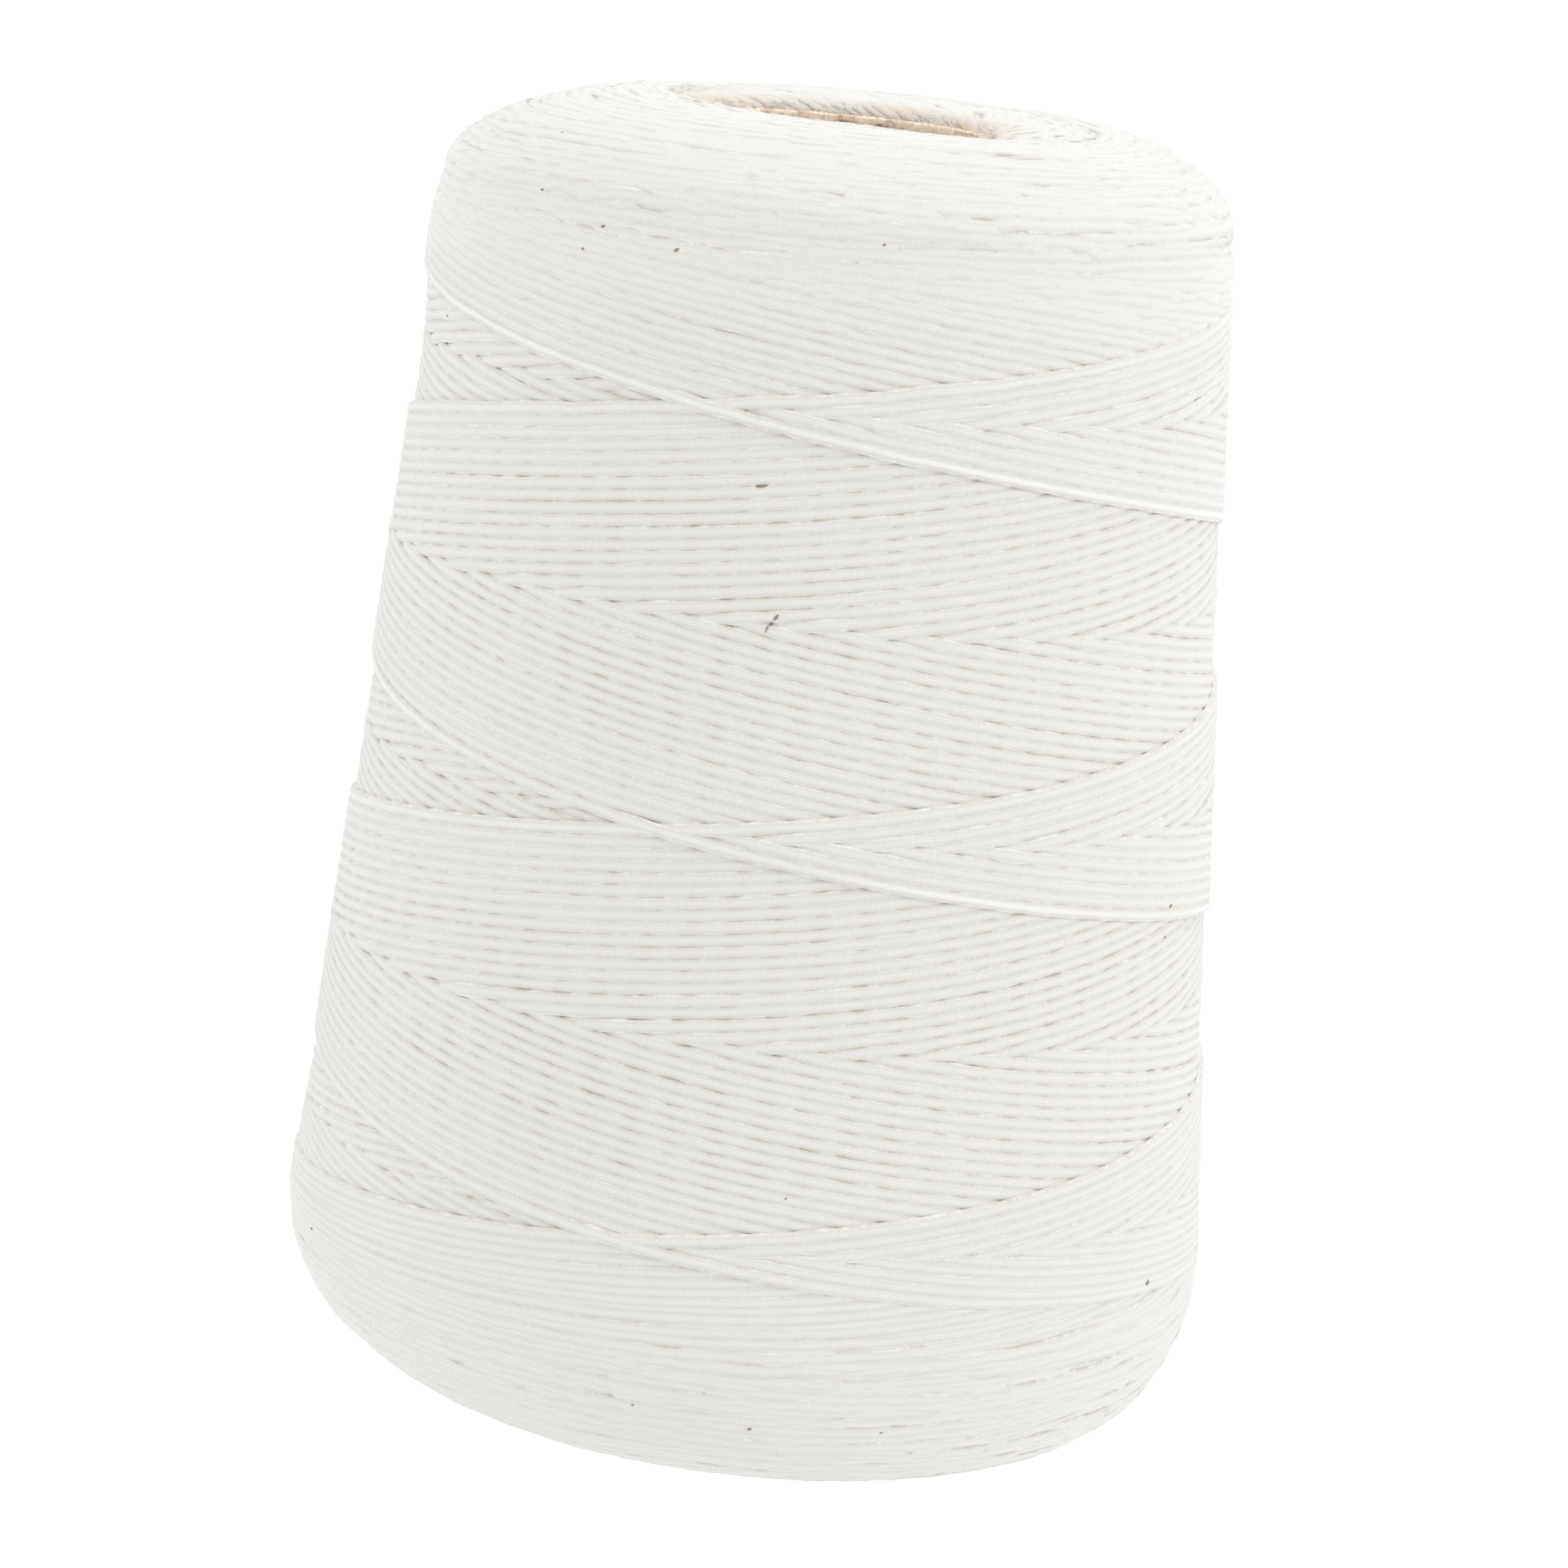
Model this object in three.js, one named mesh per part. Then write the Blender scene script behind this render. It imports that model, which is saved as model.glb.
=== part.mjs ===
// A cone of cooking twine: cotton twine cross-wound on a tapered paperboard core.
// The part stands on its wide end at z = 0 with the winding's axis on +Z. Lengths are in millimetres.

import * as THREE from 'three';

const DEGREES = Math.PI / 180;

// The wound package. Its side is a cone that stops short of both ends, where rounded corners take over.
const HEIGHT = 195;
const TAPER = Math.tan((4 + 20 / 60) * DEGREES);   // the usual 4 degrees 20 minutes of a twine cone
const BASE_RADIUS = 72;                            // where the side would meet the table if it ran on down

// Corners: how far each is drawn in, how tall it is, and how square (2 is a plain ellipse).
// A soft package is never even, so each corner is fuller on the +X side by the share "uneven".
const FOOT = { inset: 24, rise: 24, squareness: 2.1, uneven: 0.27 };
const SHOULDER = { inset: 24.8, rise: 13.2, squareness: 1.75, uneven: 0.23 };

// Twine has built up under the shoulder on the -X side: the middle, reach and size of that bulge.
const BULGE = { height: 170, reach: 16, size: 0.9 };

// The mouth: a shallow dish in the crown that rolls over a soft lip and down to the core.
const LIP_RADIUS = 25.2;
const LIP_DROP = 1.2;
const LIP_ROLL = 3.0;

// The crown has settled unevenly: it tilts down towards -Y, and a dent lowers one side of the lip.
const CROWN_TILT = 0.6;
const CROWN_DENT = 1.1;
const DENT_BEARING = -30 * DEGREES;
const DENT_NARROWNESS = 6;

// The paperboard core, a straight tube with the package's own taper, open at both ends.
const CORE_TOP = 191.8;
const CORE_TOP_RADIUS = 21.5;
const CORE_WALL = 1.8;
const CLEARANCE = 0.3;

// The last passes of twine. Each pass is a helix that climbs one pitch a turn, and the newest rising and
// falling passes cross each other at one height and bearing, from which both families are counted.
const PITCH = 58.8;
const CROSSING_HEIGHT = 156.1;
const CROSSING_BEARING = -105 * DEGREES;
const LAYER_RISE = 0.8;                            // what a layer of twine adds to the radius, once bedded in
const STEP_SOFTNESS = 0.05;                        // share of a cycle over which a step is rounded off

// Mesh fineness.
const SEGMENTS = 72;
const FOOT_STEPS = 10;
const SIDE_STEPS = 30;
const SHOULDER_STEPS = 9;
const LIP_STEPS = 4;

const sideRadius = (height) => BASE_RADIUS - height * TAPER;
const coreRadius = (height) => CORE_TOP_RADIUS + (CORE_TOP - height) * TAPER;

/** How far a rounded corner is drawn in from the side, at a share of its rise away from the side. */
function cornerInset(corner, share) {
  const fullness = (1 - share ** corner.squareness) ** (1 / corner.squareness);
  return corner.inset * (1 - fullness);
}

/**
 * One point of the winding's half section. "inset" is how far a corner has drawn it in, which the uneven
 * corners scale, "relief" is how much of the passes' steps shows there, and "settling" how much of the
 * crown's settling it takes part in.
 */
const sectionPoint = (radius, height, inset = 0, uneven = 0, relief = 0, settling = 0) => (
  { radius, height, inset, uneven, relief, settling }
);

/** The rounded lower corner, from the flat the package stands on up to the side. */
function footSection() {
  return Array.from({ length: FOOT_STEPS }, (_, i) => {
    const angle = (i / FOOT_STEPS) * (Math.PI / 2);
    const height = FOOT.rise * (1 - Math.cos(angle));
    const inset = cornerInset(FOOT, 1 - height / FOOT.rise);
    return sectionPoint(sideRadius(FOOT.rise) - inset, height, inset, FOOT.uneven, Math.sin(angle) ** 2);
  });
}

/** The straight tapered side, where the steps of the passes show in full. */
function sideSection() {
  const top = HEIGHT - SHOULDER.rise;
  return Array.from({ length: SIDE_STEPS + 1 }, (_, i) => {
    const height = FOOT.rise + (i / SIDE_STEPS) * (top - FOOT.rise);
    return sectionPoint(sideRadius(height), height, 0, 0, 1);
  });
}

/** The rounded upper corner, from the side in to the crown. */
function shoulderSection() {
  const start = HEIGHT - SHOULDER.rise;
  return Array.from({ length: SHOULDER_STEPS }, (_, i) => {
    const angle = ((i + 1) / SHOULDER_STEPS) * (Math.PI / 2);
    const height = start + SHOULDER.rise * Math.sin(angle);
    const inset = cornerInset(SHOULDER, (height - start) / SHOULDER.rise);
    const relief = Math.cos(angle) ** 2;
    return sectionPoint(sideRadius(start) - inset, height, inset, SHOULDER.uneven, relief, 1 - relief);
  });
}

/** The lip of the mouth, a quarter roll from the dished crown down into the bore. */
function lipSection() {
  const foot = HEIGHT - LIP_DROP - LIP_ROLL;
  const bore = coreRadius(foot) + CLEARANCE;
  return Array.from({ length: LIP_STEPS + 1 }, (_, i) => {
    const angle = (i / LIP_STEPS) * (Math.PI / 2);
    const radius = LIP_RADIUS - (LIP_RADIUS - bore) * Math.sin(angle);
    return sectionPoint(radius, foot + LIP_ROLL * Math.cos(angle), 0, 0, 0, 1);
  });
}

/** The bore, down the core's outside with a small clearance. */
function boreSection() {
  return [CORE_TOP / 2, 0].map((height) => sectionPoint(coreRadius(height) + CLEARANCE, height));
}

/**
 * Height of the winding's surface over its oldest turns, for one family of passes, as a share of a thickness:
 * 1 at the newest pass, and down to 0 just before it.
 */
function stepHeight(turns) {
  const age = turns - Math.floor(turns);
  const offset = age < 0.5 ? age : age - 1;
  if (Math.abs(offset) >= STEP_SOFTNESS) return 1 - age;
  return 0.5 + offset * ((0.5 - STEP_SOFTNESS) / STEP_SOFTNESS);
}

/** Steps that the rising and falling passes leave on the side, about its mean surface. */
function windingRelief(bearing, height) {
  const round = (bearing - CROSSING_BEARING) / (2 * Math.PI);
  const along = (height - CROSSING_HEIGHT) / PITCH;
  return LAYER_RISE * (stepHeight(round - along) + stepHeight(round + along) - 1);
}

/** How far the build-up under the shoulder stands out at a bearing and height. */
function buildUp(bearing, height) {
  const away = Math.min(Math.abs(height - BULGE.height) / BULGE.reach, 1);
  return BULGE.size * ((1 + Math.cos(Math.PI * away)) / 2) * ((1 - Math.cos(bearing)) / 2);
}

/** How far the crown has settled at a bearing. */
function crownSettling(bearing) {
  const tilt = CROWN_TILT * (1 - Math.sin(bearing)) / 2;
  const dent = CROWN_DENT * ((1 + Math.cos(bearing - DENT_BEARING)) / 2) ** DENT_NARROWNESS;
  return tilt + dent;
}

/**
 * Places a section point at a bearing round the axis, with the uneven corners, the passes' steps and the
 * settled crown, which slides down along the core's taper.
 */
function windingPoint(point, bearing) {
  const fuller = point.uneven * point.inset * Math.cos(bearing);
  const relief = point.relief * windingRelief(bearing, point.height);
  const settled = point.settling * crownSettling(bearing);
  const grown = fuller + relief + buildUp(bearing, point.height);
  const radius = point.radius + grown + settled * TAPER;
  return [radius * Math.cos(bearing), radius * Math.sin(bearing), point.height - settled];
}

/** Places a section point at a bearing on a true cone. */
const conePoint = (point, bearing) => (
  [point.radius * Math.cos(bearing), point.radius * Math.sin(bearing), point.height]
);

/** Joins rings of points, one for each point of a closed half section, into one closed surface. */
function closedRings(section, place) {
  const positions = section.flatMap((point) => (
    Array.from({ length: SEGMENTS }, (_, j) => place(point, (j / SEGMENTS) * 2 * Math.PI)).flat()
  ));
  const index = [];
  section.forEach((_, i) => {
    const ring = i * SEGMENTS;
    const nextRing = ((i + 1) % section.length) * SEGMENTS;
    for (let j = 0; j < SEGMENTS; j += 1) {
      const next = (j + 1) % SEGMENTS;
      index.push(ring + j, ring + next, nextRing + next, ring + j, nextRing + next, nextRing + j);
    }
  });
  const geometry = new THREE.BufferGeometry();
  geometry.setAttribute('position', new THREE.Float32BufferAttribute(positions, 3));
  geometry.setIndex(index);
  geometry.computeVertexNormals();
  return geometry;
}

function twineWinding() {
  const section = [
    ...footSection(),
    ...sideSection(),
    ...shoulderSection(),
    ...lipSection(),
    ...boreSection(),
  ];
  const material = new THREE.MeshStandardMaterial({ color: 0xe9e8e2, roughness: 0.95, metalness: 0 });
  const mesh = new THREE.Mesh(closedRings(section, windingPoint), material);
  mesh.name = 'twine_winding';
  return mesh;
}

function paperCore() {
  const outside = [0, CORE_TOP].map((height) => sectionPoint(coreRadius(height), height));
  const inside = [CORE_TOP, 0].map((height) => sectionPoint(coreRadius(height) - CORE_WALL, height));
  const material = new THREE.MeshStandardMaterial({ color: 0xc4a484, roughness: 0.85, metalness: 0 });
  const mesh = new THREE.Mesh(closedRings([...outside, ...inside], conePoint), material);
  mesh.name = 'paper_core';
  return mesh;
}

const twineCone = new THREE.Group();
twineCone.add(twineWinding(), paperCore());

export default twineCone;
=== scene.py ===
# %% [markdown]
# # A cone of cooking twine
# Butchers and cooks tie up roasts with soft white cotton twine, and it is sold on a cone: a tapered
# paperboard tube with a few hundred metres of twine cross-wound on it. The twine runs up and down the cone
# in long helices. Each pass lies beside the last one, so after a while the whole side is covered and the
# next layer starts on top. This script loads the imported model, which gives every size, and then lays the
# outer layers of twine on it, pass by pass, in the way that a winding machine does.

# %% Load the frame
import math

import bpy
import numpy as np
from mathutils import Matrix, Vector


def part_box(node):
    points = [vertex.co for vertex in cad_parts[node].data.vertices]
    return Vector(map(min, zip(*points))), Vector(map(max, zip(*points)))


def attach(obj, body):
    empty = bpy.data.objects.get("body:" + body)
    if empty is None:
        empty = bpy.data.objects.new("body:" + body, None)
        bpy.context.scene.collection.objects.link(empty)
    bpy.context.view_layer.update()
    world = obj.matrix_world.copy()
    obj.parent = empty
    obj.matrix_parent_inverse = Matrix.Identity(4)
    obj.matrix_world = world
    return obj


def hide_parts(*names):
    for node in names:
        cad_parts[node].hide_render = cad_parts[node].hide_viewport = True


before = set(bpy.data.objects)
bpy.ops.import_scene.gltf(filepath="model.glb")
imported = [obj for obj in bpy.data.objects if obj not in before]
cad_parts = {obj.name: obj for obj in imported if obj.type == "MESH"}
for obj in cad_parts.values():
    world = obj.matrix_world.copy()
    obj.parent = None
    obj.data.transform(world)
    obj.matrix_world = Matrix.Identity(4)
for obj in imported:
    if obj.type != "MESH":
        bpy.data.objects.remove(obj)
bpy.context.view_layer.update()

MM = 0.001  # Blender works in metres, this script counts in millimetres
winding_low, winding_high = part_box("twine_winding")
_, core_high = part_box("paper_core")
HEIGHT = (winding_high.z - winding_low.z) / MM
CORE_TOP = core_high.z / MM
CORE_FOOT_RADIUS = core_high.x / MM
print(f"winding {HEIGHT:.1f} mm tall")
print(f"core {CORE_TOP:.1f} mm tall and {2 * CORE_FOOT_RADIUS:.1f} mm wide at the foot")

# %% [markdown]
# ## The camera
# The camera looks from a little above, so that the mouth and its paper core show. The lens is long, which
# keeps the sides nearly straight. The camera is rolled a few degrees, so the cone leans to the right in the
# frame although it stands upright on the floor. Blender could aim it with a constraint, but a matrix from
# distance, pitch and roll says exactly where it stands. A small function makes an object of any kind and
# links it into the scene, since Blender doesn't show what isn't linked.

# %% Camera
CAMERA_DISTANCE = 682.3
CAMERA_PITCH = math.radians(12.314)
CAMERA_ROLL = math.radians(5.39)
CAMERA_LENS = 103.05
AIM = Vector((-0.09, 0.0, 91.86))

SENSOR_WIDTH = 36.0


def new_object(name, data):
    """A new object around its data, linked into the scene."""
    made = bpy.data.objects.new(name, data)
    bpy.context.scene.collection.objects.link(made)
    return made


camera = new_object("camera", bpy.data.cameras.new("camera"))
camera.data.lens = CAMERA_LENS
camera.data.sensor_width = SENSOR_WIDTH
back = Vector((0, -math.cos(CAMERA_PITCH), math.sin(CAMERA_PITCH)))
facing = (-back).to_track_quat("-Z", "Y").to_matrix()
turn = facing @ Matrix.Rotation(CAMERA_ROLL, 3, "Z")
camera.matrix_world = Matrix.Translation((AIM + back * CAMERA_DISTANCE) * MM) @ turn.to_4x4()
bpy.context.scene.camera = camera
print("camera at", [round(x, 3) for x in camera.matrix_world.translation])

# %% [markdown]
# ## The wound form
# The twine settles into a cone with rounded corners and a shallow dish round the mouth. Blender could loft
# this from a curve, but the twine needs more than a mesh: it has to know, for any bearing round the cone
# and any distance along the half section, where the surface is and which way is out. So the half section is
# kept as a table by arc length, from the inner edge of the flat that it stands on, round the foot, up the
# side, over the shoulder and into the mouth. The figures are the ones that the CAD solid was made from,
# except that the lip leans a little, as a lip of soft twine does.

# %% Outline of the half section
TAPER = math.tan(math.radians(4 + 20 / 60))  # the usual taper of a twine cone
BASE_RADIUS = 72.0
FOOT = {"inset": 24.0, "rise": 24.0, "squareness": 2.1, "uneven": 0.27}
SHOULDER = {"inset": 24.8, "rise": 13.2, "squareness": 1.75, "uneven": 0.23}
BULGE = {"height": 170.0, "reach": 16.0, "size": 0.9}  # a build-up of twine on the -X side
LIP_RADIUS, LIP_DROP, LIP_ROLL, LIP_REACH = 25.2, 1.2, 3.0, 3.1
LIP_LEAN_FOOT, LIP_LEAN_TOP = -0.4, -0.6  # mm that the lip has slipped towards -X
FLAT_EDGE = 1.4  # mm from the core to the inner edge of the flat
SAMPLES = 120  # points on each curve of the outline


def side_radius(height):
    return BASE_RADIUS - height * TAPER


def corner_inset(corner, share):
    """How far a rounded corner is drawn in, at a share of its rise away from the side."""
    fullness = (1 - np.clip(share, 0, 1) ** corner["squareness"]) ** (1 / corner["squareness"])
    return corner["inset"] * (1 - fullness)


def half_section():
    """Columns: radius, height, lean of the uneven corners to +X, share of the relief, share of the dip."""
    quarter = np.linspace(0, math.pi / 2, SAMPLES)
    sin, cos = np.sin(quarter), np.cos(quarter)
    none, full = np.zeros(SAMPLES), np.ones(SAMPLES)
    flat = np.array([[CORE_FOOT_RADIUS + FLAT_EDGE, 0.0, 0.0, 0.0, 0.0]])
    foot_z = FOOT["rise"] * (1 - cos)
    foot_in = corner_inset(FOOT, 1 - foot_z / FOOT["rise"])
    foot_r = side_radius(FOOT["rise"]) - foot_in
    foot = np.c_[foot_r, foot_z, FOOT["uneven"] * foot_in, sin ** 2, none]
    shoulder_start = HEIGHT - SHOULDER["rise"]
    side_z = np.linspace(FOOT["rise"], shoulder_start, SAMPLES)
    side = np.c_[side_radius(side_z), side_z, none, full, none][1:-1]
    top_z = shoulder_start + SHOULDER["rise"] * sin
    top_in = corner_inset(SHOULDER, (top_z - shoulder_start) / SHOULDER["rise"])
    top_r = side_radius(shoulder_start) - top_in
    top = np.c_[top_r, top_z, SHOULDER["uneven"] * top_in, cos ** 2, sin ** 2]
    lip_z = HEIGHT - LIP_DROP - LIP_ROLL + LIP_ROLL * cos
    lip = np.c_[LIP_RADIUS - LIP_REACH * sin, lip_z, LIP_LEAN_FOOT + LIP_LEAN_TOP * cos, none, full]
    outline = np.vstack([flat, foot, side, top, lip])
    away = np.clip(np.abs(outline[:, 1] - BULGE["height"]) / BULGE["reach"], 0, 1)
    build_up = BULGE["size"] * (1 + np.cos(math.pi * away)) / 4
    outline[:, 0] += build_up
    outline[:, 2] -= build_up
    return outline


outline = half_section()
print("outline of", len(outline), "points, up to", round(outline[:, 0].max(), 1), "mm from the axis")

# %% Table by arc length
CELL = 0.45  # mm between two rows of the table
ROUNDINGS = 6  # rounds of smoothing for the way out, at the outline's two corners

arc = np.r_[0, np.cumsum(np.hypot(*np.diff(outline[:, :2], axis=0).T))]
LENGTH = arc[-1]
ROWS = int(LENGTH / CELL) + 1
row_arc = np.arange(ROWS) * CELL
section_table = [np.interp(row_arc, arc, column) for column in outline.T]
sec_radius, sec_height, sec_lean, sec_relief, sec_dip = section_table
slope_r, slope_z = np.gradient(sec_radius), np.gradient(sec_height)
for _ in range(ROUNDINGS):
    slope_r[1:-1] = (slope_r[:-2] + 2 * slope_r[1:-1] + slope_r[2:]) / 4
    slope_z[1:-1] = (slope_z[:-2] + 2 * slope_z[1:-1] + slope_z[2:]) / 4
slope = np.hypot(slope_r, slope_z)
sec_out_r, sec_out_z = slope_z / slope, -slope_r / slope


def look_up(table, along):
    """Values of a table with one entry a row, at any arc lengths."""
    return np.interp(along, row_arc, table)


def arc_at_height(height):
    """Arc length where the outside of the package has a given height."""
    outside = outline[:, 1].argmax() + 1
    return float(np.interp(height, outline[:outside, 1], arc[:outside]))


print(f"half section {LENGTH:.1f} mm long in {ROWS} rows")

# %% Points on the wound form
CROWN_TILT = 0.6  # mm that the crown has settled lower on the -Y side ...
CROWN_DENT = 1.1  # ... and how much more in a dent
DENT_BEARING, DENT_NARROWNESS = math.radians(-30), 6


def crown_settling(bearing):
    """How far the crown has settled at a bearing."""
    dent = ((1 + np.cos(bearing - DENT_BEARING)) / 2) ** DENT_NARROWNESS
    return CROWN_TILT * (1 - np.sin(bearing)) / 2 + CROWN_DENT * dent


def place(bearing, along, height):
    """Points in mm for bearings, arc lengths and heights over the surface, and the way out from it."""
    tables = (sec_radius, sec_height, sec_lean, sec_dip, sec_out_r, sec_out_z)
    r, z, lean, dip, out_r, out_z = (look_up(table, along) for table in tables)
    cos, sin = np.cos(bearing), np.sin(bearing)
    out = np.stack([out_r * cos, out_r * sin, out_z], -1)
    settled = z - dip * crown_settling(bearing)
    ground = np.stack([(r + lean * cos) * cos, (r + lean * cos) * sin, settled], -1)
    return ground + out * np.asarray(height)[..., None], out


widest, _ = place(np.zeros(1), np.full(1, arc_at_height(40)), np.zeros(1))
print("a point on the side, 40 mm up:", widest[0].round(1))

# %% [markdown]
# ## How the machine lays the twine
# The cone turns and a guide runs up and down beside it, so each pass is a helix. Near both ends the guide
# slows and turns back, and the helix flattens into an arc. Two counts fix the pattern: how many passes
# cover the side once, and where the newest rising and falling pass cross. The age of a pass is its share
# of the way round: 0 is the newest, and just before 1 lie the oldest turns, one thickness lower. Where a
# rising and a falling family have the same age they change places, which draws the rows of chevrons.

# %% Law of the winding
PITCH = 58.96  # mm climbed in one turn, half way up
SLOWING_LOW, SLOWING_HIGH = 7.65, 12.0  # how late the guide slows down before each end
TURN_LOW, TURN_HIGH = 45.8, 200.12  # arc lengths where the guide turns back
HALF_WAY = arc_at_height(100)
CROSSING = arc_at_height(156.0)  # the newest rising and falling pass cross here ...
CROSSING_BEARING = math.radians(-105)  # ... and at this bearing
STEPS_FADE_LOW, STEPS_FADE_HIGH = 38, 24  # mm from each turn over which the steps between layers fade
STEPS_BEYOND, LEAST_STEPS = 2, 0.05  # mm beyond the turn where they end, and the share that remains
LAW_SAMPLES = 6001

swing = np.sin(np.linspace(-1, 1, LAW_SAMPLES) * math.pi / 2) * (1 - 1e-9)
law_arc = HALF_WAY + np.where(swing > 0, TURN_HIGH - HALF_WAY, HALF_WAY - TURN_LOW) * swing
mid_swing = (swing[1:] + swing[:-1]) / 2
slowing = np.where(mid_swing > 0, SLOWING_HIGH, SLOWING_LOW)
law_pitch = PITCH * np.sqrt(1 - np.abs(mid_swing) ** slowing)
law_turn = np.r_[0, np.cumsum(2 * math.pi / law_pitch * np.diff(law_arc))]
law_turn -= np.interp(CROSSING, law_arc, law_turn)
steps_high = np.clip((TURN_HIGH - row_arc + STEPS_BEYOND) / STEPS_FADE_HIGH, LEAST_STEPS, 1)
steps_low = np.clip((row_arc - TURN_LOW + STEPS_BEYOND) / STEPS_FADE_LOW, LEAST_STEPS, 1)
sec_relief *= np.minimum(steps_high, steps_low)
print(f"a pass turns from {law_turn[0] / math.pi:.2f} to {law_turn[-1] / math.pi:.2f} half turns")


def age(bearing, turned):
    """Share of the way round the cone since a family's newest pass went by."""
    return np.mod((bearing - CROSSING_BEARING + turned) / (2 * math.pi), 1.0)


# %% [markdown]
# ## A table of heights
# Twine is soft, and each pass rests on what is already there: it bridges the valleys between the threads
# below, because it is wound under tension, and it climbs over the edge of the last layer. A cloth or rope
# simulation of two hundred metres of twine would take hours. A table of heights over bearing and arc length
# does the same job in seconds: read the table under a pass, pull the pass taut over it, write its top back.

# %% Height table
COLUMNS = 800  # bearings in the table
COLUMN_ANGLE = 2 * math.pi / COLUMNS
LAYER = 0.8  # mm that one family of passes adds to the radius
CYCLES = 2  # layers laid to settle the pattern; the older end up hidden
END_DEPTH = 1.1  # mm under the surface where the laying starts at the two ends

column_bearing = np.arange(COLUMNS) * COLUMN_ANGLE
grid_bearing, grid_arc = np.meshgrid(column_bearing, row_arc, indexing="ij")
grid_turn = np.interp(grid_arc, law_arc, law_turn)
relief = LAYER * (1 - age(grid_bearing, -grid_turn) - age(grid_bearing, grid_turn))
relief *= look_up(sec_relief, grid_arc)


def towards_ends(before_high, reach_high, before_low, reach_low):
    """0 on the side and 1 at the ends: mm before each turn where the change begins, and its length."""
    high = np.clip((row_arc - TURN_HIGH + before_high) / reach_high, 0, 1)
    return high + np.clip((TURN_LOW + before_low - row_arc) / reach_low, 0, 1)


end_share = towards_ends(before_high=12, reach_high=10, before_low=3, reach_low=8)
near_end = towards_ends(before_high=34, reach_high=18, before_low=14, reach_low=14)
start_depth = 2 * CYCLES * LAYER * (1 - end_share) + END_DEPTH * end_share
heights = relief - start_depth[None, :]
print("height table", heights.shape)

# %% Read and write the table
def sample(columns, along):
    """The table's height at whole columns and any arc length."""
    row = np.clip(along / CELL, 0, ROWS - 1.001)
    low = row.astype(int)
    share = row - low
    return heights[columns, low] * (1 - share) + heights[columns, low + 1] * share


def press(columns, along, crown, width, thick):
    """Writes the rounded top of a pass into the table."""
    centre = along / CELL
    for offset in range(-2, 4):  # the widest pass covers six rows
        row = np.floor(centre).astype(int) + offset
        across = (row - centre) * CELL / (width / 2)
        inside = (np.abs(across) < 1) & (row >= 0) & (row < ROWS)
        c, r = columns[inside], row[inside]
        top = (crown - thick / 2)[inside] + thick[inside] / 2 * np.sqrt(1 - across[inside] ** 2)
        heights[c, r] = np.maximum(heights[c, r], top)


def nearest_row(along):
    return np.clip(np.round(along / CELL).astype(int), 0, ROWS - 1)


print(f"its cells are at most {COLUMN_ANGLE * BASE_RADIUS:.2f} mm by {CELL} mm")

# %% Drifts
SEED = 7
rng = np.random.default_rng(SEED)
DRIFTS = {  # what varies along a thread: samples between knots, and size
    "sideways at the ends": (5, 0.09), "sideways": (11, 0.03), "sideways, slowly": (110, 0.04),
    "arc": (8, 0.07), "arc, slowly": (40, 0.12), "mouth thread": (20, 0.12), "filler": (12, 0.1),
    "width": (9, 0.03), "width at the ends": (5, 0.06), "width, slowly": (60, 0.02), "thickness": (9, 0.025),
    "gape": (14, 0.25), "gape at the ends": (5, 0.6), "highlight_share": (40, 0.3), "pressed height": (5, 0.06),
}


def smooth(values, reach):
    """Running mean over 2 * reach + 1 samples, with the ends held."""
    padded = np.r_[np.full(reach, values[0]), values, np.full(reach, values[-1])]
    total = np.cumsum(np.r_[0, padded])
    return (total[2 * reach + 1:] - total[:-2 * reach - 1]) / (2 * reach + 1)


def wander(count, what):
    """A slow random drift, one value a sample, by its name in the table."""
    step, size = DRIFTS[what]
    knots = rng.normal(0, size, int(count / step) + 3)
    return np.interp(np.arange(count) / step, np.arange(len(knots)), knots)


print(len(DRIFTS), "drifts, and one seed for all of them:", SEED)

# %% The taut line
def taut(distance, ground, radius):
    """A line pulled tight over a round form: the upper hull, once the form's own curve is taken off."""
    step = np.gradient(distance)
    sag = np.cumsum(np.cumsum(step / radius) * step)
    level = ground - sag
    hull = [0]
    for i in range(1, len(level)):
        while len(hull) > 1:
            a, b = hull[-2], hull[-1]
            rise_ab = (level[b] - level[a]) * (distance[i] - distance[a])
            rise_ai = (level[i] - level[a]) * (distance[b] - distance[a])
            if rise_ab > rise_ai:
                break
            hull.pop()
        hull.append(i)
    return np.interp(distance, distance[hull], level[hull]) + sag


STRAIGHT = 1e9  # mm, a radius without any bend to speak of
valley = taut(np.arange(9.0), np.abs(np.arange(9) - 4.0), np.full(9, STRAIGHT))
print(f"over a valley 4 mm deep a taut line stays at {valley.min():.1f} mm")

# %% Lay one thread
WIDTH, THICK = 2.02, 1.10  # mm across a thread and over it, flattened by its neighbours
THREAD_REST = (-0.33, -0.12, 0.12, 0.33)  # shares of the width at which a thread feels what is below
SINK = 0.30  # mm that a thread beds into the soft layer under it
BRIDGING = 0.72  # 1 would be wire, 0 would be wool
SPREAD = 0.07  # share that a thread squashes wider between those below
EDGE = 0.7  # mm from the ends of the half section where no thread goes
TWIST_START = 300  # mm; each thread's twist starts somewhere within this
WIDER_AT_ENDS, THINNER_AT_ENDS = 0.15, 0.4  # shares by which a thread is pressed flat at the two ends
MOST_LIFTED = 0.5  # mm that a pass moves towards what lies under it, as a whole
STIFFER_AT_ENDS = 0.6
# more painted shade in the gap beside a thread that rides on a ridge
GAPE_ON_RIDGE = 0.25
EVENED = 16  # samples to each side over which the aimed height is evened out
JOIN_SAMPLES = 24  # samples over which a pass eases away from the one before it
BURIED = 2.2  # mm that a thread dives under where its end is hidden


def eased(share):
    """0 to 1 with a soft start and a soft end."""
    return share * share * (3 - 2 * share)


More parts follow.
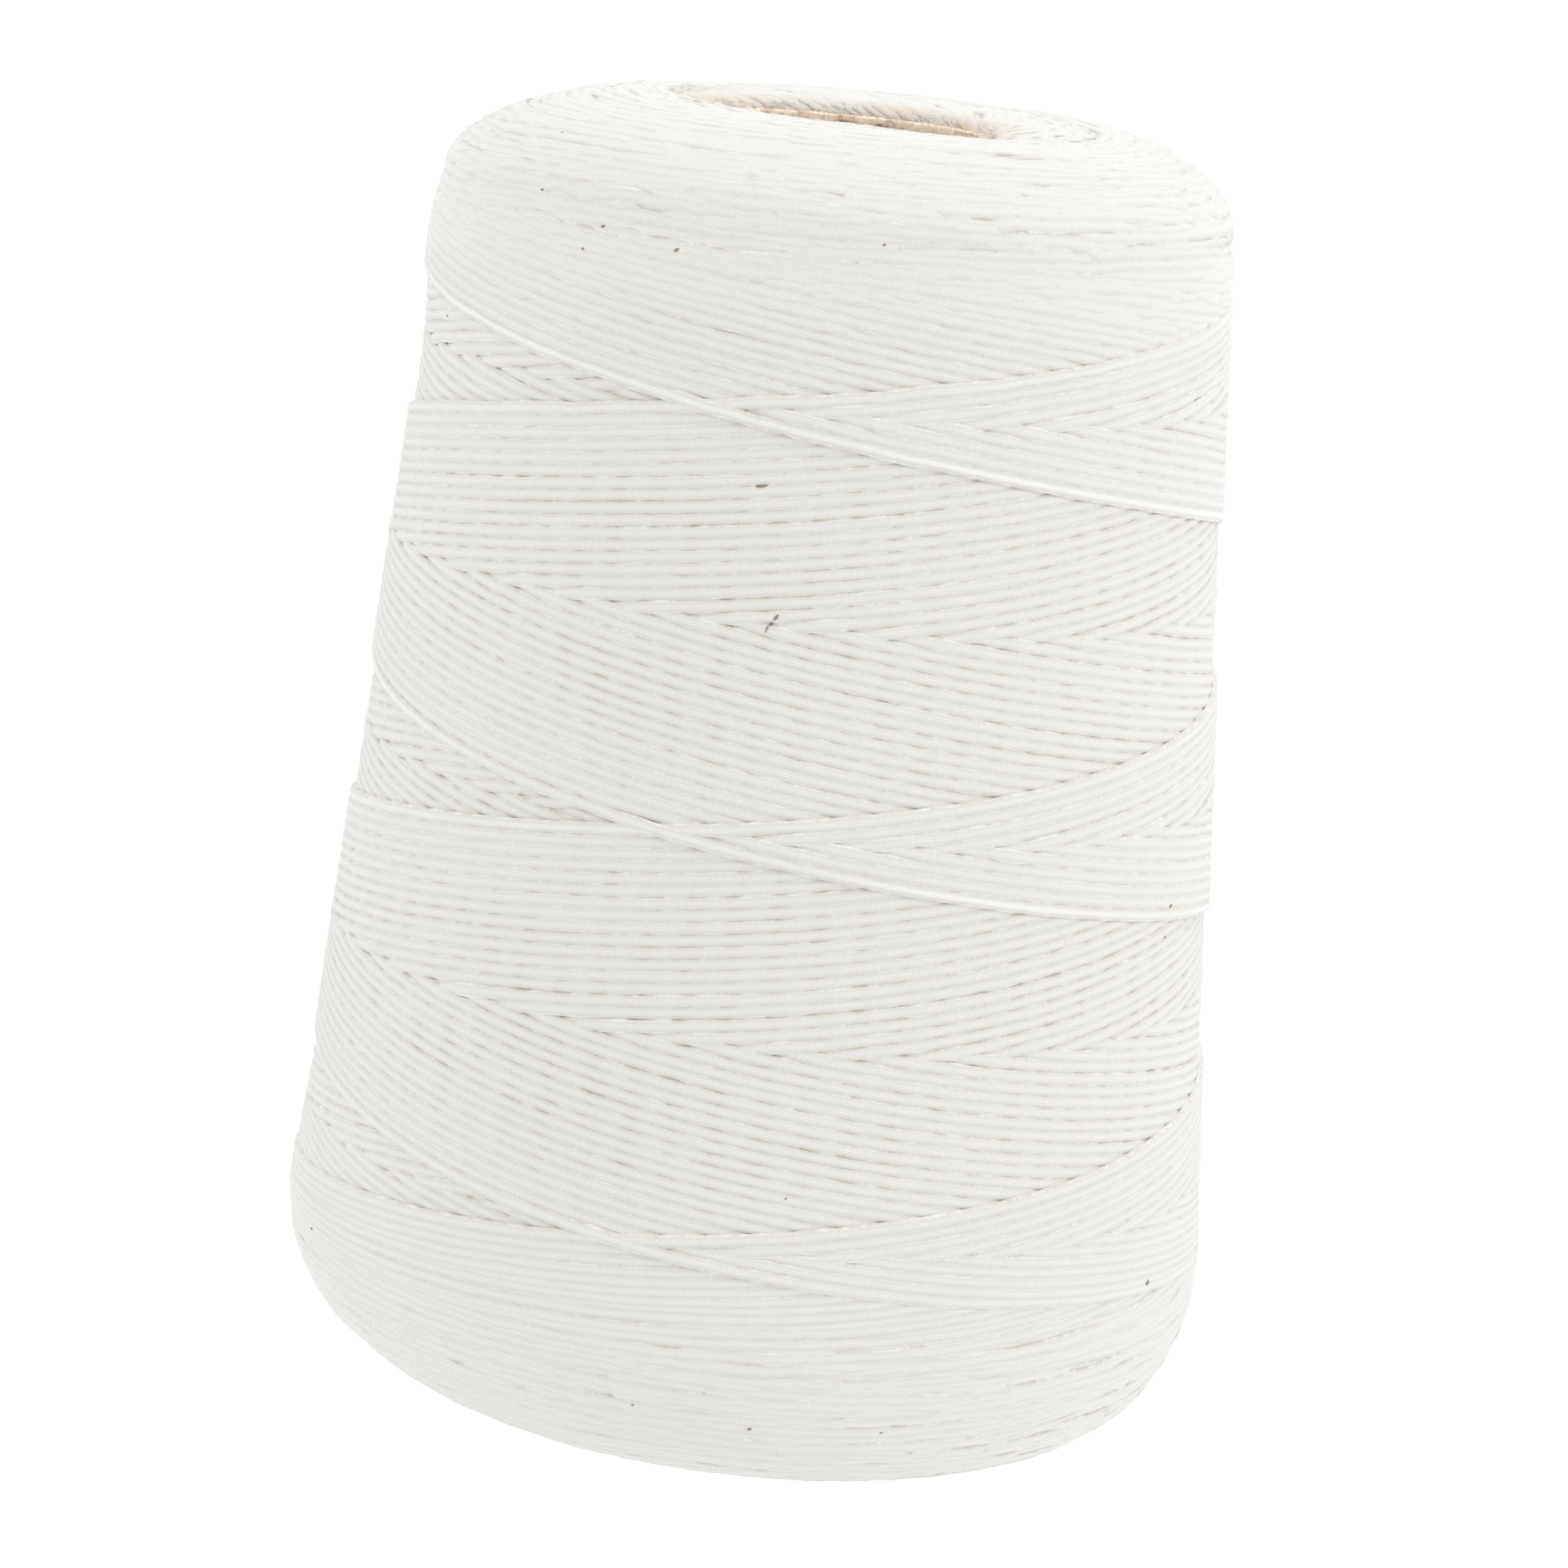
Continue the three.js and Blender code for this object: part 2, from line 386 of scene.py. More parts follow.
def lay(first_column, count, along, aim, slack, bury=(0, 0), joined=None, ridge=0.0, spread=1.0):
    """
    Lays one pass over consecutive columns and returns it as a thread. "aim" is the height that its top
    should have on average, "slack" how far it may stray, "bury" how many samples dive under at each end,
    "ridge" is 1 where it lies on top of a thread of the family below and -1 where it lies between two, and
    "spread" widens it.
    """
    columns = (first_column + np.arange(count)) % COLUMNS
    bearing = (first_column + np.arange(count)) * COLUMN_ANGLE
    near = look_up(near_end, along)
    along = np.clip(along + wander(count, "sideways at the ends") * near, EDGE, LENGTH - EDGE)
    radius = look_up(sec_radius, along) + look_up(sec_lean, along) * np.cos(bearing)
    steps = np.hypot(radius * COLUMN_ANGLE, np.gradient(along))
    distance = rng.uniform(0, TWIST_START) + np.cumsum(steps)
    under = [sample(columns, along + share * WIDTH) for share in THREAD_REST]
    ground = smooth(np.mean(under, axis=0), 1)
    rest = BRIDGING * taut(distance, ground, radius) + (1 - BRIDGING) * smooth(ground, 2)
    flat = look_up(end_share, along)
    uneven = wander(count, "width") * (1 - near) + wander(count, "width at the ends") * near
    uneven = uneven + wander(count, "width, slowly")
    width = WIDTH * spread * (1 - SPREAD * ridge * (1 - near) + uneven) * (1 + WIDER_AT_ENDS * flat)
    thick = THICK * (1 + wander(count, "thickness")) * (1 - THINNER_AT_ENDS * flat)
    # how much painted shade the gap beside the thread gets: more on a ridge, and drifting along it
    gape = (GAPE_ON_RIDGE * ridge + wander(count, "gape")) * (1 - near)
    gape = np.clip(0.5 + gape + wander(count, "gape at the ends") * near, 0, 1)
    slack = slack * (1 - STIFFER_AT_ENDS * flat)
    crown = smooth(rest, 1) + thick - SINK
    easy = smooth(aim, EVENED)
    crown += np.clip(np.mean(easy - crown), -MOST_LIFTED, MOST_LIFTED)
    crown = easy + slack * np.tanh((crown - easy) / slack)
    if joined is not None:
        crown = joined + (crown - joined) * eased(np.clip(np.arange(count) / JOIN_SAMPLES, 0, 1))
    for end, length in zip((slice(None), slice(None, None, -1)), bury):
        if length:
            dive = np.clip(1 - np.arange(count) / length, 0, 1) ** 2
            crown[end] = crown[end] - BURIED * dive
    press(columns, along, crown, width, thick)
    return {"bearing": bearing, "along": along, "crown": crown, "width": width, "thick": thick,
            "gape": gape, "flat": flat, "fresh": np.zeros(count), "columns": columns, "distance": distance}


threads = []
print("a thread lies", WIDTH, "mm wide and", THICK, "mm thick")

# %% [markdown]
# ## The ends first
# The crown round the mouth and the foot below are made of the arcs where older passes turned back. The
# guide turned a little nearer to the middle with every layer, so each arc comes up from under its outer
# neighbours, runs nearly level for a fifth of a turn, and dives under them again, like shingles. They are
# older than the side, so they are laid first, from the core outward. A golden angle between one arc and the
# next keeps them evenly scattered. Oldest of all are the threads at the lip, which come up out of the bore.

# %% Threads of the mouth
MOUTH_THREADS = 92
MOUTH_CLIMB, MOUTH_TURNED = 12.0, 0.8  # mm along the half section, and radians round the axis
MOUTH_SLACK, MOUTH_BURIED = 0.2, 16  # mm that one gives in height, and samples hidden at its end
FAN_START, FAN_END, FAN_REACH = 0.66, 0.94, 0.3  # width at the bore and once fanned out, and by what share
BARE_BEARING = math.radians(165)  # round here the twine has slipped back and bares more paper
BARENESS = 0.4


def lay_mouth():
    """The oldest threads, which come up out of the bore at a slant, fan out and go over the lip."""
    for k in range(MOUTH_THREADS):
        count = int(MOUTH_TURNED * rng.uniform(0.9, 1.1) / (2 * math.pi) * COLUMNS)
        share = np.linspace(0, 1, count)
        first = int((k / MOUTH_THREADS) * COLUMNS + rng.normal(0, 1.0)) % COLUMNS
        bareness = BARENESS * max(0.0, math.cos(column_bearing[first] - BARE_BEARING))
        start = LENGTH - rng.uniform(0.4, 1.3) - bareness
        along = start - MOUTH_CLIMB * share ** 1.2 + wander(count, "mouth thread")
        fan = FAN_START + (FAN_END - FAN_START) * np.clip(share / FAN_REACH, 0, 1)
        aim = np.full(count, rng.normal(0.0, 0.07))
        threads.append(lay(first, count, along, aim, MOUTH_SLACK, bury=(0, MOUTH_BURIED), spread=fan))


lay_mouth()
print(len(threads), "threads round the mouth")

# %% Arcs of the crown and the foot
SHINGLE_STEP = 1.0  # mm between one round of arcs and the next
ARCS_A_ROUND = 5.0
BEND = 3.0  # mm that an arc falls away from its turn, at one radian
ARC_REACH = 0.95  # radians to each side of the turn
SHINGLE_DEPTH = 0.24  # how much deeper an arc lies for each step that covers it
ARC_SPREAD, ARC_SLANT = 0.4, 1.0  # mm that an arc's level strays, and mm a radian that it slants
ARC_SLACK, ARC_BURIED = 0.12, 20  # mm that it gives in height, and samples hidden at each end
ARCS_FROM_BORE, ARCS_FROM_FLAT = 7.5, 1.2  # mm from the two ends of the half section to the first arc
ARCS_SHORT_OF_TURN = 4  # mm from the last arc to where the side's passes turn
GOLDEN_ANGLE = math.pi * (3 - math.sqrt(5))


def lay_arcs(from_arc, to_arc):
    """Arcs from the inner level to the outer one; each bends towards the outer side."""
    outward = math.copysign(1, to_arc - from_arc)
    number = int(abs(to_arc - from_arc) / SHINGLE_STEP * ARCS_A_ROUND)
    for k in range(number):
        reach = ARC_REACH * rng.uniform(0.9, 1.15)
        count = int(reach / math.pi * COLUMNS)
        angle = np.linspace(-reach, reach, count)
        level = from_arc + (to_arc - from_arc) * k / number + rng.normal(0, ARC_SPREAD)
        fallen = BEND * angle ** 2 * rng.uniform(0.9, 1.1) + rng.normal(0, ARC_SLANT) * angle
        along = level + outward * fallen + wander(count, "arc, slowly") + wander(count, "arc")
        aim = rng.normal(-0.04, 0.04) - SHINGLE_DEPTH / SHINGLE_STEP * fallen
        first = int((k * GOLDEN_ANGLE + rng.normal(0, 0.2) - reach) / (2 * math.pi) * COLUMNS) % COLUMNS
        threads.append(lay(first, count, along, aim, ARC_SLACK, bury=(ARC_BURIED, ARC_BURIED)))


lay_arcs(LENGTH - ARCS_FROM_BORE, TURN_HIGH - ARCS_SHORT_OF_TURN)
lay_arcs(ARCS_FROM_FLAT, TURN_LOW + ARCS_SHORT_OF_TURN)
print(len(threads), "threads on the two ends")

# %% [markdown]
# ## The side
# Now the machine runs: a rising pass, the turn at the shoulder, a falling pass, the turn at the foot, and
# so on, with the newest pair last. No two turns come at quite the same place, which keeps the real cone's
# edges from building up, and the thread spacing wanders by a tenth of a millimetre or two. Towards the foot
# the guide slows early and the passes crowd, so every second one is squeezed under its neighbours. The
# newest passes get less painted shade in their gaps, and the very last pair carries a painted highlight,
# which fades out lower down.

# %% Where a pass runs
PASSES = 34  # rising passes that cover the side once
EASE_LOW, EASE_HIGH = TURN_LOW + 12, TURN_HIGH - 12  # beyond these a pass has turning places of its own
THINNER_LAYER = 0.5  # share by which a layer is pressed thinner at the two ends
CROWDED_FROM, CROWDED_FULL = 1.35, 1.0  # mm between neighbouring passes where it begins and is complete
crowded_arc = (law_arc[1:] + law_arc[:-1]) / 2
crowding = (CROWDED_FROM - law_pitch / PASSES) / (CROWDED_FROM - CROWDED_FULL)
crowded_share = np.clip(crowding, 0, 1) * (crowded_arc < HALF_WAY)


def pass_arc(turned, low_shift, high_shift):
    """Arc length of a pass by the angle it has turned, with this pass's own turning places."""
    along = np.interp(turned, law_turn, law_arc)
    along = along + low_shift * np.clip((EASE_LOW - along) / (EASE_LOW - TURN_LOW), 0, 1) ** 2
    return along + high_shift * np.clip((along - EASE_HIGH) / (TURN_HIGH - EASE_HIGH), 0, 1) ** 2


def aimed_height(bearing, along, turned, own_age, falling, cycle):
    """Top of a pass: on the surface, or one layer lower where the other family was laid over it later."""
    rise_age, fall_age = age(bearing, -turned), age(bearing, turned)
    level = LAYER * (1 - rise_age - fall_age) * look_up(sec_relief, along)
    other = rise_age if falling else fall_age
    covered = other < own_age if falling else other <= own_age
    flat = look_up(end_share, along)
    return level - LAYER * covered * (1 - THINNER_LAYER * flat) - 2 * LAYER * cycle


crowd_top = crowded_arc[crowded_share > 0].max()
print(f"passes crowd over the first {crowd_top:.0f} mm of the half section")

# %% Lay the passes
TURN_TOP, TURN_BOTTOM = math.pi, -5 * math.pi + math.pi / PASSES  # radians from the crossing to each turn
TURN_KEPT, TURN_SPREAD = 0.75, 1.0  # how the turning place drifts from one pass to the next, in mm
PASS_SHIFT = 0.045  # mm that a whole pass strays from its even place
PASS_SLACK = 0.3  # mm that it gives in height
LESS_SHADED_PASSES, GAP_SHADE_CUT = 8, 0.8  # the newest passes, and the share by which the painted shade in their gaps is lessened
# painted shade in the gaps beside the newest pair
NEWEST_GAPE = 0.6
HIGHLIGHT_RISING, HIGHLIGHT_FALLING = 0.4, 1.0  # how strong the painted highlight on the newest pair is
HIGHLIGHT_FADE_ARC = arc_at_height(57)  # below here the painted highlight on the newest pass fades
HIGHLIGHT_FADE_REACH = 20  # mm over which it fades
HIGHLIGHT_MEAN, LEAST_HIGHLIGHT = 0.7, 0.2  # how strong it is on average, and the share of that left below the fade
CROWDED_DEPTH = 0.45  # mm that every second pass is squeezed under where they crowd

half_samples = int(round((TURN_TOP - TURN_BOTTOM) / (2 * math.pi) * COLUMNS))
turned_up = TURN_BOTTOM + np.arange(half_samples) * COLUMN_ANGLE
previous, turn_shift = None, np.zeros(2)
for number in range(CYCLES * PASSES - 1, -1, -1):
    cycle, index = divmod(number, PASSES)
    own_age = index / PASSES
    shift = rng.normal(0, PASS_SHIFT) if number else 0.0
    newest = CROSSING_BEARING + 2 * math.pi * own_age
    low_shift, high_shift = TURN_KEPT * turn_shift + rng.uniform(-TURN_SPREAD, TURN_SPREAD, 2)
    turn_shift = np.array([low_shift, high_shift])
    for falling in (False, True):
        turned = turned_up if not falling else turned_up[::-1]
        start = newest + (-turned[0] if falling else turned[0])
        first = int(round(start / (2 * math.pi) * COLUMNS))
        bearing = (first + np.arange(half_samples)) * COLUMN_ANGLE
        exact = (newest - bearing if falling else bearing - newest)
        exact = exact - 2 * math.pi * round((exact[0] - turned[0]) / (2 * math.pi))
        drift = shift + wander(half_samples, "sideways, slowly") + wander(half_samples, "sideways")
        along = pass_arc(exact, low_shift, high_shift) + drift
        aim = aimed_height(bearing, along, exact, own_age, falling, cycle)
        if index % 2:
            aim = aim - CROWDED_DEPTH * np.interp(along, crowded_arc, crowded_share)
        other_age = age(bearing, -exact if falling else exact)
        ridge = np.cos(2 * math.pi * PASSES * other_age)
        thread = lay(first, half_samples, along, aim, PASS_SLACK, joined=previous, ridge=ridge)
        previous = thread["crown"][-1]
        # less painted shade in the gaps of the newest passes
        thread["gape"] = thread["gape"] * (1 - GAP_SHADE_CUT * max(0.0, 1 - number / LESS_SHADED_PASSES))
        if number == 0:
            thread["gape"] = np.full(half_samples, NEWEST_GAPE)
            # painted highlight on the newest pair, fading out lower down
            highlight_share = HIGHLIGHT_FALLING if falling else HIGHLIGHT_RISING
            highlight_share = highlight_share * np.clip((thread["along"] - HIGHLIGHT_FADE_ARC) / HIGHLIGHT_FADE_REACH, LEAST_HIGHLIGHT, 1)
            thread["fresh"] = highlight_share * np.clip(HIGHLIGHT_MEAN + wander(half_samples, "highlight_share"), 0, 1)
        threads.append(thread)
    previous = None if number == CYCLES * PASSES - 1 else previous
laid = sum(np.ptp(thread["distance"]) for thread in threads) / 1000
print(len(threads), "threads,", round(laid, 1), "m of twine laid")

# %% [markdown]
# ## Press the ends smooth
# At the two ends hundreds of arcs lie over each other at small angles, and handling and packing press them
# into an almost smooth skin. So there each thread's height is drawn towards the mean surface: near it to a
# quarter of the difference, deeper down hardly at all, which keeps the older threads under the newer ones.
# A sculpting brush could smooth a mesh like this, but the threads have to stay whole, so their heights move
# and not the mesh.

# %% Press the ends
PRESSED = 0.25  # share of a thread's height over the mean surface that remains
PRESS_DEPTH = 1.0  # mm under the mean surface where nothing is drawn up any more
SKIN_RAISED = 0.08  # mm from the mean of the table up to the tops of the threads
SKIN_CELLS = (10, 4)  # columns and rows to each side that the mean takes in
EMPTY = -9.0  # mm, deeper than any thread


def mean_surface(table, columns, rows):
    """The table averaged over 2 * columns + 1 by 2 * rows + 1 cells, with its edge rows held."""
    total = sum(np.roll(table, k, 0) for k in range(-columns, columns + 1)) / (2 * columns + 1)
    padded = np.pad(total, ((0, 0), (rows, rows)), mode="edge")
    summed = np.cumsum(np.pad(padded, ((0, 0), (1, 0))), axis=1)
    return (summed[:, 2 * rows + 1:] - summed[:, :-2 * rows - 1]) / (2 * rows + 1)


skin = mean_surface(heights, *SKIN_CELLS) + SKIN_RAISED
press_share = towards_ends(before_high=22, reach_high=16, before_low=7, reach_low=12)
for thread in threads:
    row = nearest_row(thread["along"])
    over = thread["crown"] - skin[thread["columns"], row]
    deep = np.clip(-over / PRESS_DEPTH, 0, 1)
    kept = PRESSED + (1 - PRESSED) * eased(deep)
    swell = wander(len(row), "pressed height") * near_end[row]
    thread["crown"] = thread["crown"] - over * (1 - kept) * press_share[row] + swell
heights = np.full_like(heights, EMPTY)
for thread in threads:
    press(thread["columns"], thread["along"], thread["crown"], thread["width"], thread["thick"])
print("mean height of the surface", round(float(heights.mean()), 2), "mm")

# %% [markdown]
# ## Fill the gaps
# Scattered arcs leave a few places bare, where a real package has still older turns right below. Wherever a
# level run of the table lies too deep, one more thread is laid along it, just under the skin, and its ends
# are buried. It works row by row, like darning.

# %% Fill the gaps
GAP_DEPTH, FILLER_DEPTH = 0.18, 0.08  # mm under the skin: where a gap begins, and where a filler lies
FILLER_SLACK, FILLER_BURIED = 0.04, 8  # mm that it gives in height, and columns hidden at each end
JOINED_BREAK = 8  # columns across which two deep runs count as one
SHORTEST_FILLER = 20  # columns
FILL_SHARE = 0.8  # only where the ends are pressed by more than this
FILL_FROM, FILL_TO = 2, 12  # mm from the flat's inner edge and from the bore, between which gaps are filled


def spans(flags, shortest):
    """Start and stop of each run of true flags that is longer than the shortest one wanted."""
    edges = np.flatnonzero(np.diff(np.r_[0, flags.astype(int), 0]))
    return [(a, b) for a, b in zip(edges[::2], edges[1::2]) if b - a > shortest]


def deep_runs(deep):
    """First column and length of the runs of deep cells in one row of the table, across short breaks."""
    reach = JOINED_BREAK
    linked = smooth(np.r_[deep[-reach:], deep, deep[:reach]].astype(float), reach)[reach:-reach] > 0
    if linked.all() or not linked.any():
        return []
    shift = int(np.flatnonzero(~linked)[0])
    return [(a + shift, b - a) for a, b in spans(np.roll(linked, -shift), SHORTEST_FILLER)]


def fill_gaps():
    """Older threads pressed up into the gaps that remain between the arcs of the two ends."""
    wanted = (press_share > FILL_SHARE) & (row_arc > FILL_FROM) & (row_arc < LENGTH - FILL_TO)
    for row in np.flatnonzero(wanted):
        for first, count in deep_runs(heights[:, row] < skin[:, row] - GAP_DEPTH):
            columns = (first + np.arange(count)) % COLUMNS
            if not (heights[columns, row] < skin[columns, row] - GAP_DEPTH).any():
                continue
            along = np.full(count, row_arc[row]) + 0.3 + wander(count, "filler")
            aim = skin[columns, row] - FILLER_DEPTH
            threads.append(lay(first, count, along, aim, FILLER_SLACK, bury=(FILLER_BURIED, FILLER_BURIED)))


before = len(threads)
fill_gaps()
print(len(threads) - before, "threads pressed up into gaps")

# %% [markdown]
# ## Keep what can be seen
# Most of what was laid lies hidden under the newest layers. A thread shows where its top is near the lowest
# point of the table around it, since that is how deep the eye can look into the gaps. Only such stretches
# become mesh, and they are cut a little way inside the hidden part.

# %% Find the stretches that show
SEE_DEPTH = 0.35  # mm that the eye reaches below the lowest point nearby ...
NEARBY = 2  # ... within this many cells
KEPT_INSIDE = 8  # columns kept at each end of a stretch, inside the hidden part
RING_EVERY = 4  # columns between two rings of a tube


def lowest_nearby(table, reach):
    """The lowest height within a number of cells, first across the columns and then across the rows."""
    for axis in (0, 1):
        table = np.min([np.roll(table, offset, axis) for offset in range(-reach, reach + 1)], axis=0)
    return table


valley_height = lowest_nearby(heights, NEARBY)


def shown_runs(thread):
    """Start and stop samples of the stretches of a thread that show."""
    row = nearest_row(thread["along"])
    seen = thread["crown"] > valley_height[thread["columns"], row] - SEE_DEPTH
    return spans(smooth(seen.astype(float), KEPT_INSIDE) > 0, 3 * RING_EVERY)


runs = [(thread, a, b) for thread in threads for a, b in shown_runs(thread)]
shown = sum(thread["distance"][b - 1] - thread["distance"][a] for thread, a, b in runs) / 1000
print(len(runs), "stretches,", round(shown, 1), "m of twine shown")

# %% [markdown]
# ## Threads as tubes
# A curve with a bevel would give round tubes, but thousands of splines are slow and a flattened section
# needs its own frame. So each stretch is built straight into mesh arrays: a ring of seven points every
# couple of millimetres, rounded above and flatter where it is pressed on the layer below. The texture
# coordinates run along the thread in millimetres and once around it, which is what the twist in the
# material needs. Three helpers come first, which other pieces use too: one sets rings along a centre line,
# one joins rings into closed tubes, and one makes a smooth object of points and faces.

# %% Rings, tubes and pieces
def unit(vectors):
    return vectors / np.linalg.norm(vectors, axis=-1, keepdims=True)


def tube_rings(centre, out, profile, width, thick):
    """Rings of a flat profile along a centre line; "out" is the way that the top of the profile faces."""
    forward = unit(np.gradient(centre, axis=0))
    sideways = unit(np.cross(forward, out))
    up = np.cross(sideways, forward)
    return (centre[:, None] + sideways[:, None] * (profile[None, :, 0, None] * width[:, None, None])
            + up[:, None] * (profile[None, :, 1, None] * thick[:, None, None]))


def tube_faces(ring_counts, sides):
    """Faces of closed tubes whose rings follow one another in the points: all the walls, and the caps."""
    walls, caps, first = [], [], 0
    j = np.arange(sides)
    k = (j + 1) % sides
    for count in ring_counts:
        ring = first + np.arange(count - 1)[:, None] * sides
        walls.append(np.stack([ring + j, ring + k, ring + sides + k, ring + sides + j], -1).reshape(-1, 4))
        caps += [first + j[::-1], first + (count - 1) * sides + j]
        first += count * sides
    return np.vstack(walls).tolist(), np.array(caps).tolist()


def mesh_piece(name, points, faces, finish=None):
    """A smooth object of points in mm and faces, with its material if it has one already."""
    mesh = bpy.data.meshes.new(name)
    mesh.from_pydata((np.asarray(points) * MM).tolist(), [], faces)
    mesh.polygons.foreach_set("use_smooth", np.ones(len(faces), bool))
    if finish:
        mesh.materials.append(finish)
    return new_object(name, mesh)


def triangles(piece):
    return sum(len(face.vertices) - 2 for face in piece.data.polygons)


tube = tube_faces([3], 4)
print("a tube of three square rings has", len(tube[0]), "walls and", len(tube[1]), "caps")

# %% Threads as mesh
PROFILE = np.array([(0.0, 0.5), (0.31, 0.39), (0.49, 0.08), (0.45, -0.44),
                    (-0.45, -0.44), (-0.49, 0.08), (-0.31, 0.39)])
LABELS = ("gape", "flat", "fresh")  # kept on the mesh for the material
FULLER_AT_ENDS = 0.12  # threads of the two ends spread this much more once pressed
LOWEST = 0.02  # mm over the floor; the cone's own weight presses its foot flat


def run_rings(thread, a, b):
    """Ring points of one stretch, with its texture u and its labels at each ring."""
    at = np.unique(np.r_[np.arange(a, b - 1, RING_EVERY), b - 1])
    bearing, along, thick = thread["bearing"][at], thread["along"][at], thread["thick"][at]
    width = thread["width"][at] * (1 + FULLER_AT_ENDS * thread["flat"][at])
    centre, out = place(bearing, along, thread["crown"][at] - thick / 2)
    rings = tube_rings(centre, out, PROFILE, width, thick)
    rings[..., 2] = np.maximum(rings[..., 2], LOWEST)
    return rings, thread["distance"][at], [thread[label][at] for label in LABELS]


def twine_piece(name, stretches):
    """One piece of many threads, each a closed tube."""
    rings, u_values, labels = zip(*(run_rings(*stretch) for stretch in stretches))
    counts = [len(ring) for ring in rings]
    sides = len(PROFILE)
    walls, caps = tube_faces(counts, sides)
    piece = mesh_piece(name, np.vstack(rings).reshape(-1, 3), walls + caps)
    mesh = piece.data
    is_wall = np.arange(len(walls) + len(caps)) < len(walls)
    mesh.polygons.foreach_set("use_smooth", is_wall)
    corners = np.r_[np.ravel(walls), np.ravel(caps)]
    u = np.repeat(np.concatenate(u_values), sides)[corners]
    v = (corners % sides) / sides
    wall_v = v[:4 * len(walls)].reshape(-1, 4)
    wall_v[(np.ptp(wall_v, axis=1) > 0.5)[:, None] & (wall_v == 0)] = 1  # the last wall ends at v = 1
    twist = mesh.uv_layers.new(name="twist")
    twist.data.foreach_set("uv", np.stack([u, v], -1).astype(np.float32).ravel())
    for label, values in zip(LABELS, zip(*labels)):
        attribute = mesh.attributes.new(label, "FLOAT", "POINT")
        attribute.data.foreach_set("value", np.repeat(np.concatenate(values), sides).astype(np.float32))
    mesh.validate()
    return piece


print("each ring of a thread has", len(PROFILE), "points, and there is one every",
      round(RING_EVERY * COLUMN_ANGLE * BASE_RADIUS, 1), "mm at most")

# %% [markdown]
# ## The twine in pieces
# The real cone holds one unbroken length of twine. As one mesh it would be heavy to load and to export, so
# the stretches are dealt out in the order in which they were laid, and a new piece starts when one is full.

# %% Split the twine into pieces
FACES_A_PIECE = 185000  # triangles


def split_runs(all_runs):
    """Groups of stretches, each small enough for one piece."""
    groups, room = [[]], FACES_A_PIECE
    for run in all_runs:
        _, start, stop = run
        cost = 2 * len(PROFILE) * (len(range(start, stop, RING_EVERY)) + 1)
        if cost > room:
            groups.append([])
            room = FACES_A_PIECE
        groups[-1].append(run)
        room -= cost
    return groups


twine_pieces = [twine_piece(f"twine_lay_{n + 1}", group) for n, group in enumerate(split_runs(runs))]
for piece in twine_pieces:
    print(piece.name, triangles(piece), "triangles")

# %% [markdown]
# ## The body under the twine
# Between the threads the eye meets older layers, so a closed body lies close under them. It follows the
# table of heights, smoothed and lowered, and runs down the bore beside the core. A shrinkwrap modifier could
# pull a lathed form in like this, but the table already says how deep each place is. Its points stand in
# rings that close on themselves, and so will those of the core, so one helper joins such rings.

# %% Rings into a closed skin
def ring_faces(rings, around):
    """Faces between rings of points, closed round each ring and from the last ring back to the first."""
    i, j = np.meshgrid(np.arange(rings), np.arange(around), indexing="ij")
    i2, j2 = (i + 1) % rings, (j + 1) % around
    corners = [i * around + j, i * around + j2, i2 * around + j2, i2 * around + j]
    return np.stack(corners, -1).reshape(-1, 4).tolist()


def core_radius(height):
    """Outer radius of the paper core at a height."""
    return CORE_FOOT_RADIUS - height * TAPER


print("the core is", round(2 * core_radius(CORE_TOP), 1), "mm wide at its top")

# %% Backing body
BACKING_DEPTH = 0.8  # mm under the mean of the thread tops, on the side
BACKING_DEPTH_AT_ENDS = 0.32
BACKING_DEPTH_AT_LIP = 0.32
BACKING_COLUMNS, BACKING_ROWS = 160, 150
HIGHEST_BACKING = 0.6  # mm over the wound form
BORE_ROWS = 12
BORE_TOP, BORE_FOOT = CORE_TOP - 3.5, 2.0  # heights of the bore's ends
BORE_GAP = 0.35  # mm between the core and the body's bore ...
BORE_GAP_AT_LIP = 0.08  # ... and where lint has packed in beside the rim
BORE_STARTS = 1.3  # mm from the rim down to that lint
LIP_REGION = 8.0  # mm of the half section that count as the lip
LIP_SHOWS_PAPER = 4.0  # mm of the lip where the oldest threads gape over the paper
SOFTENED = (6, 5)  # cells of the table to each side over which the body is smoothed


